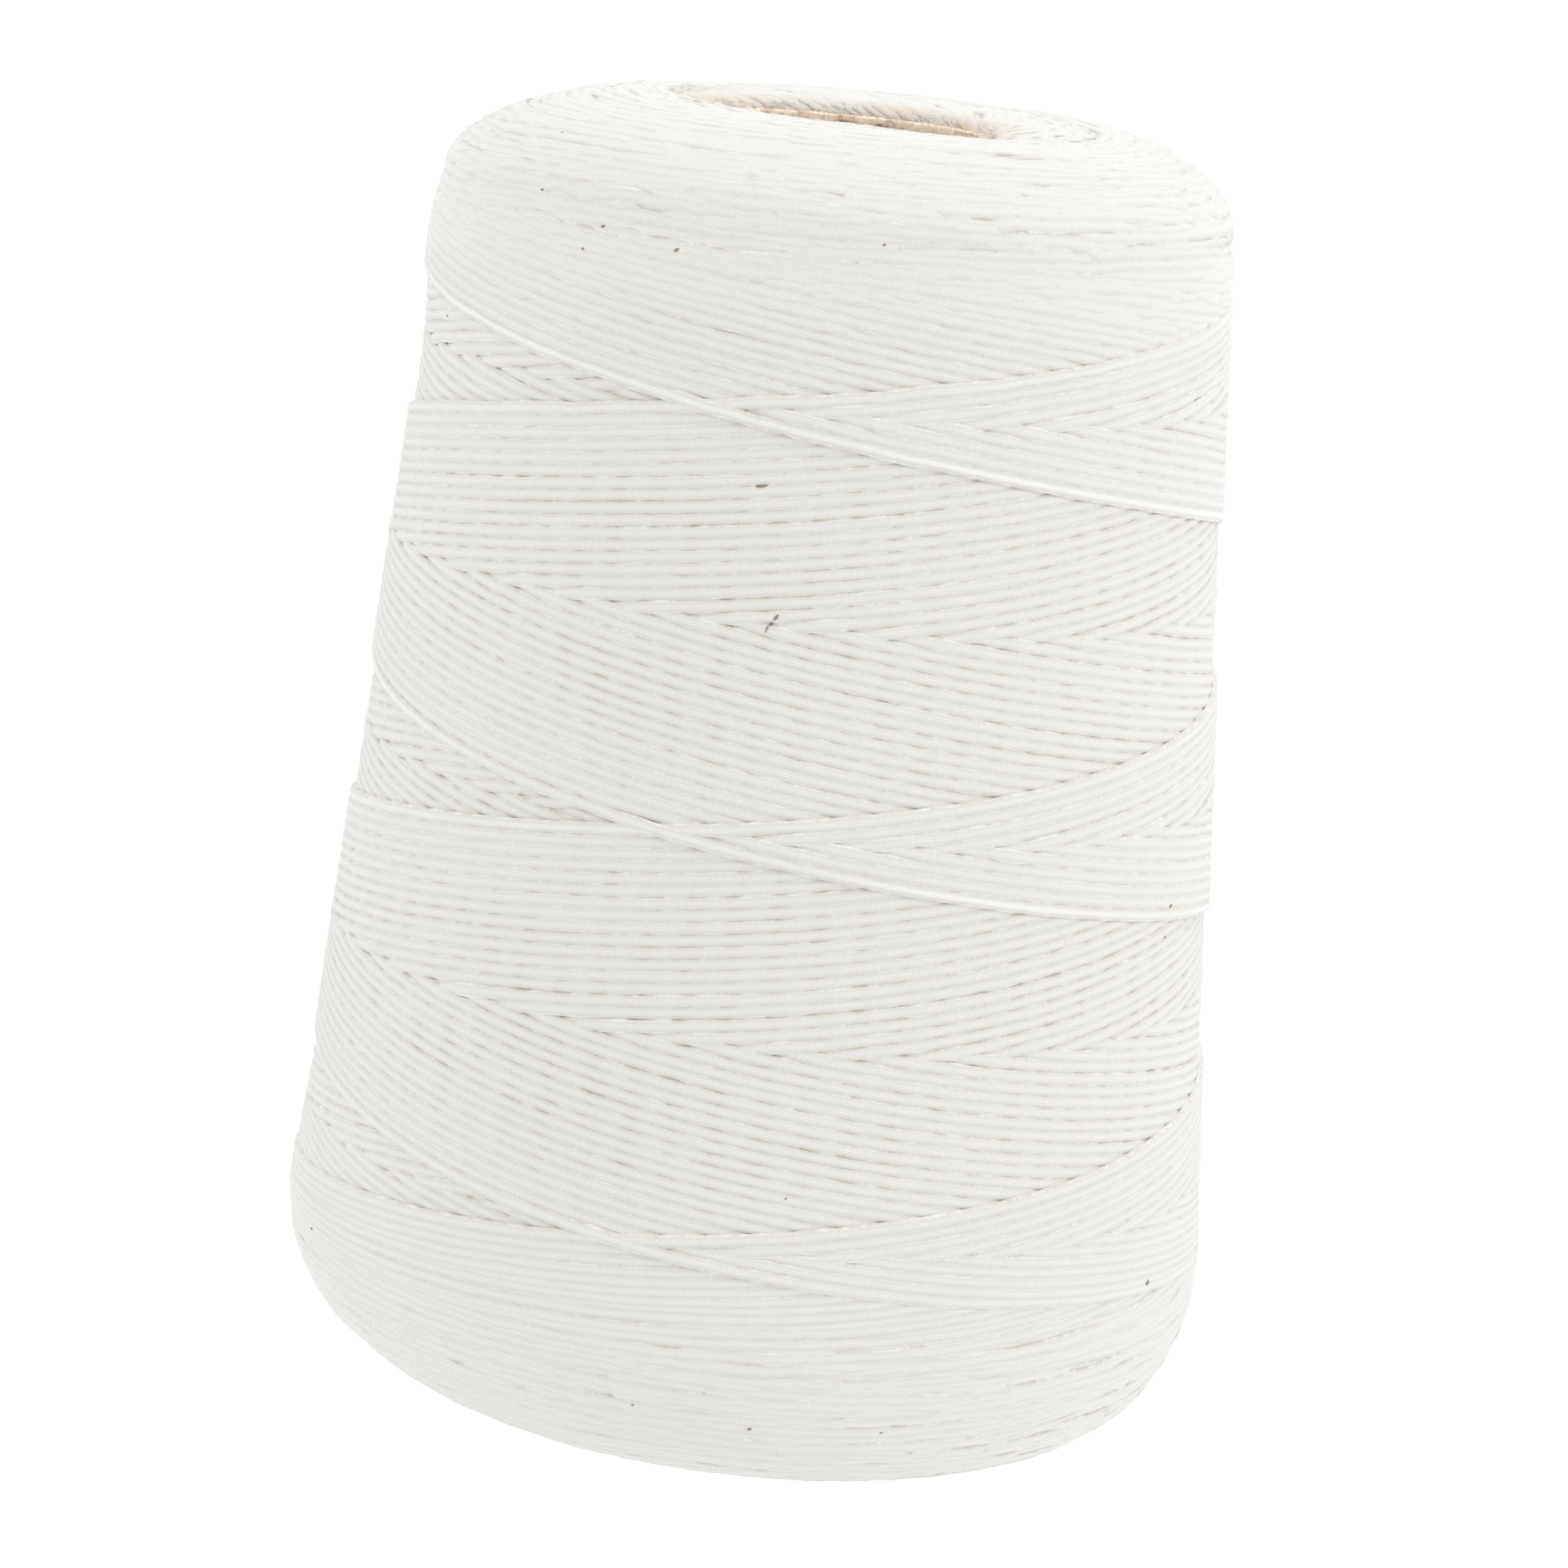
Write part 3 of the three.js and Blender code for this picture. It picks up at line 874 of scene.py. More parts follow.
def backing_body():
    """A closed body under the table of heights; its second finish is paper tan painted light at the lip."""
    soft = heights.copy()
    for axis, reach in enumerate(SOFTENED):
        soft = sum(np.roll(soft, k, axis) for k in range(-reach, reach + 1)) / (2 * reach + 1)
    edge = SOFTENED[1] + 1  # the rolled rows wrap round, so the edge rows are held
    soft[:, :edge], soft[:, -edge:] = soft[:, edge:edge + 1], soft[:, -edge - 1:-edge]
    columns = np.arange(BACKING_COLUMNS) * COLUMNS // BACKING_COLUMNS
    rows = np.linspace(0, ROWS - 1, BACKING_ROWS).astype(int)
    bearing, along = np.meshgrid(column_bearing[columns], row_arc[rows])
    depth = BACKING_DEPTH + (BACKING_DEPTH_AT_ENDS - BACKING_DEPTH) * end_share[rows]
    depth = np.where(row_arc[rows] > LENGTH - LIP_REGION, BACKING_DEPTH_AT_LIP, depth)
    level = np.minimum(soft[np.ix_(columns, rows)], HIGHEST_BACKING).T - depth[:, None]
    outer, _ = place(bearing, along, level)
    bore_z = np.r_[CORE_TOP - BORE_STARTS, np.linspace(BORE_TOP, BORE_FOOT, BORE_ROWS - 1)]
    bore_r = core_radius(bore_z) + BORE_GAP
    bore_r[0] += BORE_GAP_AT_LIP - BORE_GAP
    r, z = bore_r[:, None], np.repeat(bore_z[:, None], BACKING_COLUMNS, axis=1)
    bore = np.stack([r * np.cos(column_bearing[columns]), r * np.sin(column_bearing[columns]), z], -1)
    rings = np.concatenate([outer, bore])
    piece = mesh_piece("twine_body", rings.reshape(-1, 3), ring_faces(len(rings), BACKING_COLUMNS))
    ring = np.arange(len(rings))
    # the lip's faces get the second finish, a paper tan painted light against the shade there
    lip_light_ring = (ring >= np.searchsorted(row_arc[rows], LENGTH - LIP_SHOWS_PAPER)) & (ring < len(rings) - 1)
    piece.data.polygons.foreach_set("material_index", np.repeat(lip_light_ring, BACKING_COLUMNS).astype(np.int32))
    return piece


twine_body = backing_body()
print("backing body", len(twine_body.data.polygons), "faces")

# %% [markdown]
# ## Colours and nodes
# A colour given in hex is an sRGB value, as on a screen, but light adds up in linear values, so one
# function turns each hex colour over. Another adds a node with its settings and its links, which keeps each
# material readable from top to bottom: where a whole node is given as an input, its first output is meant.

# %% Colours and nodes
def linear(hex_colour):
    """An sRGB hex colour as linear red, green, blue and alpha."""
    channels = [int(hex_colour[k:k + 2], 16) / 255 for k in (1, 3, 5)]
    return [c / 12.92 if c <= 0.04045 else ((c + 0.055) / 1.055) ** 2.4 for c in channels] + [1.0]


def add(tree, kind, settings=None, **inputs):
    """Adds a node, sets its properties, and sets or links its inputs by name or number."""
    node = tree.nodes.new("ShaderNode" + kind)
    for key, value in (settings or {}).items():
        setattr(node, key, value)
    for key, value in inputs.items():
        name = key.replace("_", " ")
        found = [s for s in node.inputs if s.enabled and s.name == name]
        socket = node.inputs[int(key[1:])] if key[1:].isdigit() else found[0]
        if isinstance(value, bpy.types.Node):
            value = next(s for s in value.outputs if s.enabled)
        if isinstance(value, bpy.types.NodeSocket):
            tree.links.new(value, socket)
        else:
            socket.default_value = value
    return node


def material(name):
    """A new material with an empty node tree."""
    made = bpy.data.materials.new(name)
    made.use_nodes = True
    made.node_tree.nodes.clear()
    return made, made.node_tree


print("cotton crest in linear values", [round(c, 3) for c in linear("#D5D4D1")])

# %% [markdown]
# ## Spun cotton
# Butcher's twine is spun from bleached cotton and twisted from many fine yarns, so every thread shows
# slanted beads about a millimetre long, with a little painted shade along the seams between the yarns.
# Cotton is matt, and its loose fibres catch light at grazing angles, which the sheen stands for. Across each
# thread the colour carries painted light and shade: it darkens from the crest down the flanks, the underside
# is painted light, and the gap beside it gets painted light where threads touch and a warm painted shade,
# creamier than the crest, where they stand apart. That painted shade is deeper where a thread rides on one
# below, and those dashes repeat every few millimetres. An image of yarn would repeat and smear, so all of
# this comes from the texture coordinates along and around each thread.

# %% Twist and gaps
BEAD = 0.95  # mm along the thread from one yarn to the next
YARNS = 8  # seen round the thread
SMOOTH = {"interpolation_type": "SMOOTHSTEP"}
TIMES = {"operation": "MULTIPLY"}
TIMES_PLUS = {"operation": "MULTIPLY_ADD"}

cotton, tree = material("spun_cotton_twine")
uv = add(tree, "UVMap", {"uv_map": "twist"})
parts = add(tree, "SeparateXYZ", Vector=uv)

# The twist: a sine that climbs round the thread as it runs along it.
beads = add(tree, "Math", TIMES, _0=parts.outputs["X"], _1=math.pi / BEAD)
spiral = add(tree, "Math", TIMES_PLUS, _0=parts.outputs["Y"], _1=math.pi * YARNS, _2=beads)
wave = add(tree, "Math", {"operation": "SINE"}, _0=spiral)
yarn = add(tree, "Math", {"operation": "ABSOLUTE"}, _0=wave)

# How far round from the crest a point lies: 0 on top, 0.5 underneath.
flank = add(tree, "Math", {"operation": "PINGPONG"}, _0=parts.outputs["Y"], _1=0.5)
groove = add(tree, "MapRange", SMOOTH, Value=flank, From_Min=0.04, From_Max=0.11)
contact = add(tree, "MapRange", SMOOTH, Value=flank, From_Min=0.12, From_Max=0.24)
under = add(tree, "MapRange", Value=flank, From_Min=0.27, From_Max=0.36)

# How much painted shade the gap beside the thread gets, by how wide it gapes: what the laying found,
# and slubs of a few millimetres.
gape_value = add(tree, "Attribute", {"attribute_name": "gape"})
slub_at = add(tree, "VectorMath", TIMES, _0=uv, _1=(0.42, 1.2, 1))
slubs = add(tree, "TexNoise", Vector=slub_at, Scale=1.0, Detail=2.0, Roughness=0.6)
slub_shift = add(tree, "Math", TIMES_PLUS, _0=slubs, _1=3.0, _2=-1.5)
gape = add(tree, "Math", {"operation": "ADD", "use_clamp": True},
           _0=gape_value.outputs["Fac"], _1=slub_shift)

print(f"one full turn of the twist every {BEAD * YARNS:.1f} mm")

# %% Colours of the cotton
BLEND = {"data_type": "RGBA"}
COTTON_CREST = "#D5D4D1"  # bleached cotton, softly grey where dust has settled
# painted shade down the flanks of a thread
COTTON_FLANK_SHADE = "#D0CFCA"
COTTON_CLOSED_GAP_LIGHT = "#E8E7E4"  # painted light in the gap where two threads touch
COTTON_OPEN_GAP_SHADE = "#CFC9BF"  # warm painted shade in the gap where they stand apart
# painted light on the underside of a thread, against the shade there
COTTON_UNDER_LIGHT = "#F7F6F3"
COTTON_NEWEST_HIGHLIGHT = "#DFDEDB"  # painted highlight on the newest pass
END_CLOSED_GAP_LIGHT = "#DFDEDB"  # painted light in the gaps at the two ends, fainter since they are pressed smooth
# warm painted shade in the gaps at the two ends
END_OPEN_GAP_SHADE = "#C4BFB6"

# Painted light and shade in the gaps, on the side and at the two ends.
flat = add(tree, "Attribute", {"attribute_name": "flat"})
side_gap = add(tree, "Mix", BLEND, Factor=gape, A=linear(COTTON_CLOSED_GAP_LIGHT), B=linear(COTTON_OPEN_GAP_SHADE))
deep_gap = add(tree, "Mix", BLEND, Factor=under, A=side_gap, B=linear(COTTON_UNDER_LIGHT))
end_gap = add(tree, "Mix", BLEND, Factor=gape, A=linear(END_CLOSED_GAP_LIGHT), B=linear(END_OPEN_GAP_SHADE))
gap_colour = add(tree, "Mix", BLEND, Factor=flat.outputs["Fac"], A=deep_gap, B=end_gap)

# Painted shade from the crest down the flank, and then the gap's painted light and shade.
# Painted highlight on the newest pair of passes.
fresh = add(tree, "Attribute", {"attribute_name": "fresh"})
crest = add(tree, "Mix", BLEND, Factor=fresh.outputs["Fac"], A=linear(COTTON_CREST), B=linear(COTTON_NEWEST_HIGHLIGHT))
side_colour = add(tree, "Mix", BLEND, Factor=groove, A=crest, B=linear(COTTON_FLANK_SHADE))
cotton_colour = add(tree, "Mix", BLEND, Factor=contact, A=side_colour, B=gap_colour)

print("cotton colours from crest to gap:", COTTON_CREST, COTTON_FLANK_SHADE, COTTON_CLOSED_GAP_LIGHT, COTTON_OPEN_GAP_SHADE)

# %% Painted warm shade, relief and shader
PAPER_WARMED_SHADE = "#D6C7B7"  # shade in the gaps near the core, painted warm as light off the paper
WARM_SHADE_FROM, WARM_SHADE_FULL = 26.8, 23.6  # mm from the axis where the painted warm shade begins and is strongest
WARM_SHADE_PATCHES, FIBRES = 0.15, 2.2  # how many there are to a millimetre

# Painted warm shade in patches of some millimetres, on the threads near the core and most in their gaps.
spot = add(tree, "TexCoord")
level_spot = add(tree, "VectorMath", TIMES, _0=spot.outputs["Object"], _1=(1, 1, 0))
from_axis = add(tree, "VectorMath", {"operation": "LENGTH"}, _0=level_spot)
near_core = add(tree, "MapRange", Value=from_axis, From_Min=WARM_SHADE_FROM * MM, From_Max=WARM_SHADE_FULL * MM)
in_gap = add(tree, "MapRange", Value=flank, From_Min=-0.08, From_Max=0.18)
patch_noise = add(tree, "TexNoise", Vector=spot.outputs["Object"], Scale=WARM_SHADE_PATCHES / MM, Detail=3.0, Roughness=0.6)
patchy = add(tree, "MapRange", Value=patch_noise, From_Min=0.43, From_Max=0.57, To_Min=0.2, To_Max=1.0)
near_core_shade = add(tree, "Math", TIMES, _0=near_core, _1=patchy)
painted_share = add(tree, "Math", TIMES, _0=near_core_shade, _1=in_gap)
colour = add(tree, "Mix", BLEND, Factor=painted_share, A=cotton_colour, B=linear(PAPER_WARMED_SHADE))

# Painted shade along the seams between the yarns, fine tone of the fibres, and their relief.
seam = add(tree, "MapRange", Value=yarn, From_Min=0.0, From_Max=0.7, To_Min=0.972, To_Max=1.0)
fibre_noise = add(tree, "TexNoise", Vector=uv, Scale=FIBRES, Detail=3.0)
fibres = add(tree, "MapRange", Value=fibre_noise, From_Min=0.3, From_Max=0.7, To_Min=0.97, To_Max=1.03)
tone = add(tree, "Math", TIMES, _0=seam, _1=fibres)
toned = add(tree, "VectorMath", {"operation": "SCALE"}, Vector=colour, Scale=tone)
relief_height = add(tree, "Math", TIMES_PLUS, _0=fibre_noise, _1=0.6, _2=yarn)
bump = add(tree, "Bump", Strength=0.6, Distance=0.06 * MM, Height=relief_height)
shader = add(tree, "BsdfPrincipled", Base_Color=toned, Normal=bump,
             Roughness=0.9, Sheen_Weight=0.45, Sheen_Roughness=0.45)
add(tree, "OutputMaterial", Surface=shader)
for piece in twine_pieces:
    piece.data.materials.append(cotton)
print("spun cotton:", len(tree.nodes), "nodes, a bead every", BEAD, "mm")

# %% [markdown]
# ## Kraft paperboard
# The core is rolled from unbleached kraft paper made of recycled pulp. Pale and dark fibres a millimetre
# long lie in it like confetti, and broader clouds come from uneven pulp. Just inside the rim, where the
# inside of the core lies in shade, a patchy band of painted shadow darkens it. It is matt, with an IOR near
# 1.5 and a roughness of 0.85. Noise at three scales makes it: pulp at 0.8 mm, clouds at 3 mm, and the
# painted shadow that follows the rim.

# %% Kraft paperboard
KRAFT = "#D9C1A6"
KRAFT_DARK = "#A88D78"
KRAFT_FIBRE = "#F6EEE2"
# painted shadow just inside the rim
KRAFT_SHADOW = "#75625F"
SHADOW_BELOW_RIM = 1.2  # mm from the rim to the middle of the painted shadow
PULP, CLOUDS, SHADOW_PATCHES = 1.3, 0.38, 0.3  # how many of each there are to a millimetre

kraft, tree = material("kraft_paperboard")
spot = add(tree, "TexCoord")
pulp = add(tree, "TexNoise", Vector=spot.outputs["Object"], Scale=PULP / MM, Detail=4.0, Roughness=0.7)
cloud = add(tree, "TexNoise", Vector=spot.outputs["Object"], Scale=CLOUDS / MM, Detail=3.0)
pulp_share = add(tree, "MapRange", Value=pulp, From_Min=0.35, From_Max=0.65)
cloud_share = add(tree, "MapRange", Value=cloud, From_Min=0.56, From_Max=0.74)
pulp_colour = add(tree, "Mix", BLEND, Factor=pulp_share, A=linear(KRAFT), B=linear(KRAFT_FIBRE))
colour = add(tree, "Mix", BLEND, Factor=cloud_share, A=pulp_colour, B=linear(KRAFT_DARK))
# A patchy band of painted shadow just inside the rim, where the inside of the core lies in shade.
parts = add(tree, "SeparateXYZ", Vector=spot.outputs["Object"])
from_band = add(tree, "Math", {"operation": "SUBTRACT"},
                _0=parts.outputs["Z"], _1=(CORE_TOP - SHADOW_BELOW_RIM) * MM)
away = add(tree, "Math", {"operation": "ABSOLUTE"}, _0=from_band)
inside = add(tree, "MapRange", Value=away, From_Min=0.6 * MM, From_Max=0.3 * MM)
drawn_out = add(tree, "VectorMath", TIMES, _0=spot.outputs["Object"], _1=(1, 1, 2.5))
shadow_noise = add(tree, "TexNoise", Vector=drawn_out, Scale=SHADOW_PATCHES / MM, Detail=4.0, Roughness=0.7)
shadow_share = add(tree, "MapRange", Value=shadow_noise, From_Min=0.52, From_Max=0.64)
painted_share = add(tree, "Math", TIMES, _0=inside, _1=shadow_share)
shadowed = add(tree, "Mix", BLEND, Factor=painted_share, A=colour, B=linear(KRAFT_SHADOW))
bump = add(tree, "Bump", Strength=0.6, Distance=0.08 * MM, Height=pulp)
shader = add(tree, "BsdfPrincipled", Base_Color=shadowed, Roughness=0.85, Normal=bump)
add(tree, "OutputMaterial", Surface=shader)
print("kraft paperboard:", len(tree.nodes), "nodes")

# %% [markdown]
# ## Packed cotton and painted light at the lip
# Deep between the threads lies more of the same cotton, pressed so tight that single threads can't be told
# apart: a pale matt felt, a little darker than the threads. At the lip, where the oldest threads stand over
# the paper, the body is a pale tan: the paper's colour, painted much lighter against the shade between the
# threads. Both are noise at half a millimetre, the size of a tuft of lint.

# %% Packed cotton and painted light at the lip
def felt(name, dark, light, tufts, detail, span, strength, depth):
    """Pressed fibre: tufts to a millimetre, two tones split by a span of the noise, and a relief in mm."""
    made, tree = material(name)
    spot = add(tree, "TexCoord")
    tuft = add(tree, "TexNoise", Vector=spot.outputs["Object"], Scale=tufts / MM, Detail=detail)
    share = add(tree, "MapRange", Value=tuft, From_Min=span[0], From_Max=span[1])
    colour = add(tree, "Mix", BLEND, Factor=share, A=linear(dark), B=linear(light))
    bump = add(tree, "Bump", Strength=strength, Distance=depth * MM, Height=tuft)
    shader = add(tree, "BsdfPrincipled", Base_Color=colour, Roughness=0.95, Normal=bump)
    add(tree, "OutputMaterial", Surface=shader)
    return made


packed = felt("packed_cotton", "#D3D1CD", "#DCDAD6", 1.5, 3.0, (0.0, 1.0), 0.5, 0.10)
# paper tan painted much lighter against the shade between the oldest threads at the lip
lip_light = felt("kraft_painted_light_at_lip", "#E3D2BD", "#F5F0E8", 1.8, 4.0, (0.4, 0.6), 0.6, 0.12)
twine_body.data.materials.append(packed)
twine_body.data.materials.append(lip_light)
print("body materials:", [m.name for m in twine_body.data.materials])

# %% [markdown]
# ## The paperboard core
# The core is a tube wound in a spiral from strips of kraft paper, glued one over another. Its cut rim shows
# the plies as fine rings with a slightly furry edge, and inside runs the seam of the last strip. A lathe
# would make a smooth tube, so the rings of this mesh turn with the strip instead: one column of faces
# follows the seam, and moving that column in by a paper's thickness makes the step.

# %% Core tube
CORE_WALL, PLIES = 1.8, 4  # mm, and sheets of paper that show at the rim
PLY = CORE_WALL / PLIES
CORE_COLUMNS = 240
RINGS_OUTSIDE, RINGS_INSIDE = 12, 48  # more inside, where the seam has to run smoothly
WALL_FOOT, WALL_TOP = 0.35, CORE_TOP - 0.5  # heights where the straight walls end
STRIP_TURNS = 1.6  # turns that the strip makes from foot to top
SEAM_STEP = 0.16  # mm, the thickness of one strip of paper
FRAY, FRAY_PATCH = 0.5, 6  # share of the roughness, and columns that fray together
# The cut edge of one ply: depths into it, mm from the end of the tube, and how rough the edge is there.
RIM_EDGE = ((0.03, 0.22, 0.06), (0.12, 0.10, 0.14), (PLY - 0.12, 0.10, 0.14), (PLY - 0.03, 0.22, 0.06))
FOOT_EDGE = ((PLY - 0.03, 0.22), (PLY - 0.12, 0.05), (0.12, 0.05), (0.03, 0.22))


def core_tube():
    """A closed tube whose columns follow the seam of the strip."""
    column = np.arange(CORE_COLUMNS)
    rings = []

    def ring(depth, height, rough=0.0):
        """One ring at a depth into the wall; "rough" is how uneven the cut is."""
        bearing = 2 * math.pi * (column / CORE_COLUMNS + STRIP_TURNS * height / CORE_TOP)
        fray = rng.normal(0, FRAY, CORE_COLUMNS)
        fray += np.repeat(rng.normal(0, FRAY, CORE_COLUMNS // FRAY_PATCH), FRAY_PATCH)
        seam = SEAM_STEP * (depth == CORE_WALL) * (column < CORE_COLUMNS // 2)
        radius = core_radius(height) - depth + seam
        points = (radius * np.cos(bearing), radius * np.sin(bearing), height + rough * fray)
        rings.append(np.stack(points, -1))

    for height in np.linspace(WALL_FOOT, WALL_TOP, RINGS_OUTSIDE):
        ring(0.0, height)
    for k in range(PLIES):
        for depth, below, rough in RIM_EDGE:
            ring(k * PLY + depth, CORE_TOP - below, rough)
    for height in np.linspace(WALL_TOP, WALL_FOOT, RINGS_INSIDE):
        ring(CORE_WALL, height)
    for k in reversed(range(PLIES)):
        for depth, above in FOOT_EDGE:
            ring(k * PLY + depth, above)
    faces = ring_faces(len(rings), CORE_COLUMNS)
    return mesh_piece("paper_core_tube", np.concatenate(rings), faces, kraft)


core_piece = core_tube()
print("core tube", triangles(core_piece), "triangles")

# %% [markdown]
# ## Lint round the mouth
# The oldest threads rub on the cut edge of the paper and shed short fibres, which hang over the rim in
# tufts. A hair system would be lost in the export, so each fibre is a thin bent tube with three sides. Its
# material is plain cotton: warm white, matt, with a little sheen from its waxy skin.

# %% Lint fibres
TUFTS, FIBRES_A_TUFT = 60, 5
TUFT_SPREAD = 0.05  # radians between the fibres of one tuft
FIBRE_RINGS = 6
FIBRE_CORNERS = np.array([0.5, 2.6, 4.7])  # radians round the fibre
FIBRE_PROFILE = np.c_[np.cos(FIBRE_CORNERS), np.sin(FIBRE_CORNERS)]
FIBRE_TOP = (0.3, 0.2, 1.0)  # any way that no fibre runs
THINNEST, THICKEST = 0.03, 0.06  # mm, thicker than real lint so that it shows
DEEPEST_REACH = 19.2  # mm from the axis, as far in as a fibre hangs
OVER_RIM, ARCHED = 0.1, 0.25  # mm that a fibre clears the rim by, and that it bows up


def fibre_path(bearing, step):
    """Centre line and thickness of one fibre, which starts on the lip and hangs over the rim."""
    along = LENGTH - rng.uniform(0.2, 2.8)
    start, _ = place(np.full(1, bearing), np.full(1, along), np.zeros(1))
    radius, height = math.hypot(start[0, 0], start[0, 1]), start[0, 2]
    inward, drop = rng.uniform(0.5, radius - DEEPEST_REACH), rng.uniform(0.1, 1.9)
    curl = rng.normal(0, 0.9) * step + rng.normal(0, 0.4) * np.sin(math.pi * step)
    r = radius - inward * np.sin(step * math.pi / 2)
    angle = bearing + curl / r
    z = np.maximum(height, CORE_TOP + OVER_RIM) + ARCHED * np.sin(math.pi * step) - drop * step ** 3
    thickness = rng.uniform(THINNEST, THICKEST) * (1 - 0.6 * step)
    return np.stack([r * np.cos(angle), r * np.sin(angle), z], -1), thickness


def lint_fibres():
    """All fibres as one piece of thin closed tubes."""
    step = np.linspace(0, 1, FIBRE_RINGS)
    rings = []
    for tuft_bearing in rng.uniform(0, 2 * math.pi, TUFTS):
        for _ in range(FIBRES_A_TUFT):
            path, thickness = fibre_path(tuft_bearing + rng.normal(0, TUFT_SPREAD), step)
            rings.append(tube_rings(path, FIBRE_TOP, FIBRE_PROFILE, thickness, thickness))
    walls, caps = tube_faces([FIBRE_RINGS] * len(rings), len(FIBRE_CORNERS))
    return mesh_piece("mouth_lint", np.concatenate(rings).reshape(-1, 3), walls + caps)


lint_piece = lint_fibres()
print("lint", TUFTS * FIBRES_A_TUFT, "fibres")

# %% Loose cotton fibre
WAX_SPOTS = 0.9  # to a millimetre

fibre_cotton, tree = material("loose_cotton_fibre")
spot = add(tree, "TexCoord")
waxy = add(tree, "TexNoise", Vector=spot.outputs["Object"], Scale=WAX_SPOTS / MM)
colour = add(tree, "Mix", BLEND, Factor=waxy, A=linear("#E2DFD9"), B=linear("#F4F3F0"))
shader = add(tree, "BsdfPrincipled", Base_Color=colour, Roughness=0.8, Sheen_Weight=0.4)
add(tree, "OutputMaterial", Surface=shader)
lint_piece.data.materials.append(fibre_cotton)
print("loose cotton fibre:", len(tree.nodes), "nodes")

# %% [markdown]
# ## Flecks
# Cotton keeps a few flakes of seed coat and leaf through the spinning. Most are under a millimetre long, and
# they lie in the surface of a thread. Each one is a tiny uneven dome, set on the height table. A few stand at
# chosen places on the front, and the rest are scattered round the back. They could be painted by the
# material, but a flake has an edge that casts a shadow, so it is a mesh.

# %% Places of the flecks
CHOSEN_FLECKS = [  # bearing in degrees, height, length and width in mm, slant, tone
    (-135.0, 181.7, 0.7, 0.5, 0, 0.3), (-123.0, 178.2, 0.8, 0.6, 0, 0.6), (-125.5, 174.8, 0.6, 0.4, 0, 0.1),
    (-111.3, 176.4, 0.9, 0.7, 0, 0.4), (-83.5, 180.1, 0.6, 0.4, 0, 0.5), (-96.7, 146.1, 1.7, 0.6, 15, 0.7),
    (-93.1, 128.5, 1.3, 0.5, 48, 0.9), (-93.6, 127.6, 1.2, 0.45, 58, 1.0), (-94.1, 126.7, 1.1, 0.25, 75, 0.8),
    (-28.8, 86.1, 0.9, 0.7, 0, 0.0), (-31.0, 30.1, 1.2, 0.8, 40, 0.9),
    (-155.2, 24.1, 0.8, 0.5, 0, 0.5), (-87.0, 13.6, 0.8, 0.6, 0, 0.4), (-101.0, 15.3, 0.5, 0.3, 0, 0.3),
    (-28.5, 81.3, 0.8, 0.2, 10, 0.6), (-71.0, 13.6, 0.7, 0.3, 0, 0.1), (-156.0, 161.0, 0.5, 0.3, 0, 0.4),
    (-85.3, 47.8, 0.4, 0.3, 0, 0.2), (-140.5, 189.3, 0.6, 0.4, 0, 0.1),
]
SCATTERED_FLECKS = 36


def all_flecks():
    """The chosen flecks and the scattered ones, which keep to the back."""
    flecks = list(CHOSEN_FLECKS)
    for _ in range(SCATTERED_FLECKS):
        length = rng.uniform(0.35, 0.8)
        flecks.append((rng.uniform(0, 180), rng.uniform(8, 190), length, length * rng.uniform(0.4, 0.8),
                       rng.uniform(-40, 40), rng.uniform(0, 1)))
    return flecks


flecks = all_flecks()
print(len(flecks), "flecks")

# %% Flecks as mesh
FLECK_SIDES = 9
FLECK_RINGS = ((1.0, -0.06), (0.6, 0.12))  # share of the outline, and mm over the thread
FLECK_TOP, FLECK_BOTTOM = 0.15, -0.16  # mm over the thread


def fleck_mesh():
    """One piece of small closed domes."""
    points, faces, tones = [], [], []
    turn = np.arange(FLECK_SIDES) * 2 * math.pi / FLECK_SIDES
    for bearing_degrees, height, length, width, slant, tone in flecks:
        bearing = np.full(1, math.radians(bearing_degrees))
        along = np.full(1, arc_at_height(height))
        columns = np.round(bearing / COLUMN_ANGLE).astype(int) % COLUMNS
        centre, out = place(bearing, along, sample(columns, along))
        centre, out = centre[0], out[0]
        level = np.array([-math.sin(bearing[0]), math.cos(bearing[0]), 0.0])
        up = np.cross(out, level)
        angle = math.radians(slant)
        long_way = level * math.cos(angle) + up * math.sin(angle)
        wide_way = up * math.cos(angle) - level * math.sin(angle)
        first = len(points)
        uneven = rng.uniform(0.7, 1.2, FLECK_SIDES)
        for share, lift in FLECK_RINGS:
            rim = uneven * share / 2
            ring = (centre + np.outer(rim * np.cos(turn) * length, long_way)
                    + np.outer(rim * np.sin(turn) * width, wide_way) + out * lift)
            points.extend(ring)
        points.append(centre + out * FLECK_TOP)
        points.append(centre + out * FLECK_BOTTOM)
        tones.extend([tone] * (2 * FLECK_SIDES + 2))
        top, bottom = first + 2 * FLECK_SIDES, first + 2 * FLECK_SIDES + 1
        for k in range(FLECK_SIDES):
            n = (k + 1) % FLECK_SIDES
            faces.append((first + k, first + n, first + FLECK_SIDES + n, first + FLECK_SIDES + k))
            faces.append((first + FLECK_SIDES + k, first + FLECK_SIDES + n, top))
            faces.append((first + n, first + k, bottom))
    piece = mesh_piece("seed_flecks", points, faces)
    shade = piece.data.attributes.new("tone", "FLOAT", "POINT")
    shade.data.foreach_set("value", np.array(tones, np.float32))
    return piece


fleck_piece = fleck_mesh()
print("flecks", triangles(fleck_piece), "triangles")

# %% [markdown]
# ## Cotton seed coat
# The flakes are husk: dry, brittle and matt, from tan to grey-brown. Each carries its own tone on the mesh,
# and a grain of 0.4 mm keeps even the small ones from looking painted.

# %% Cotton seed coat
GRAINS = 2.5  # to a millimetre

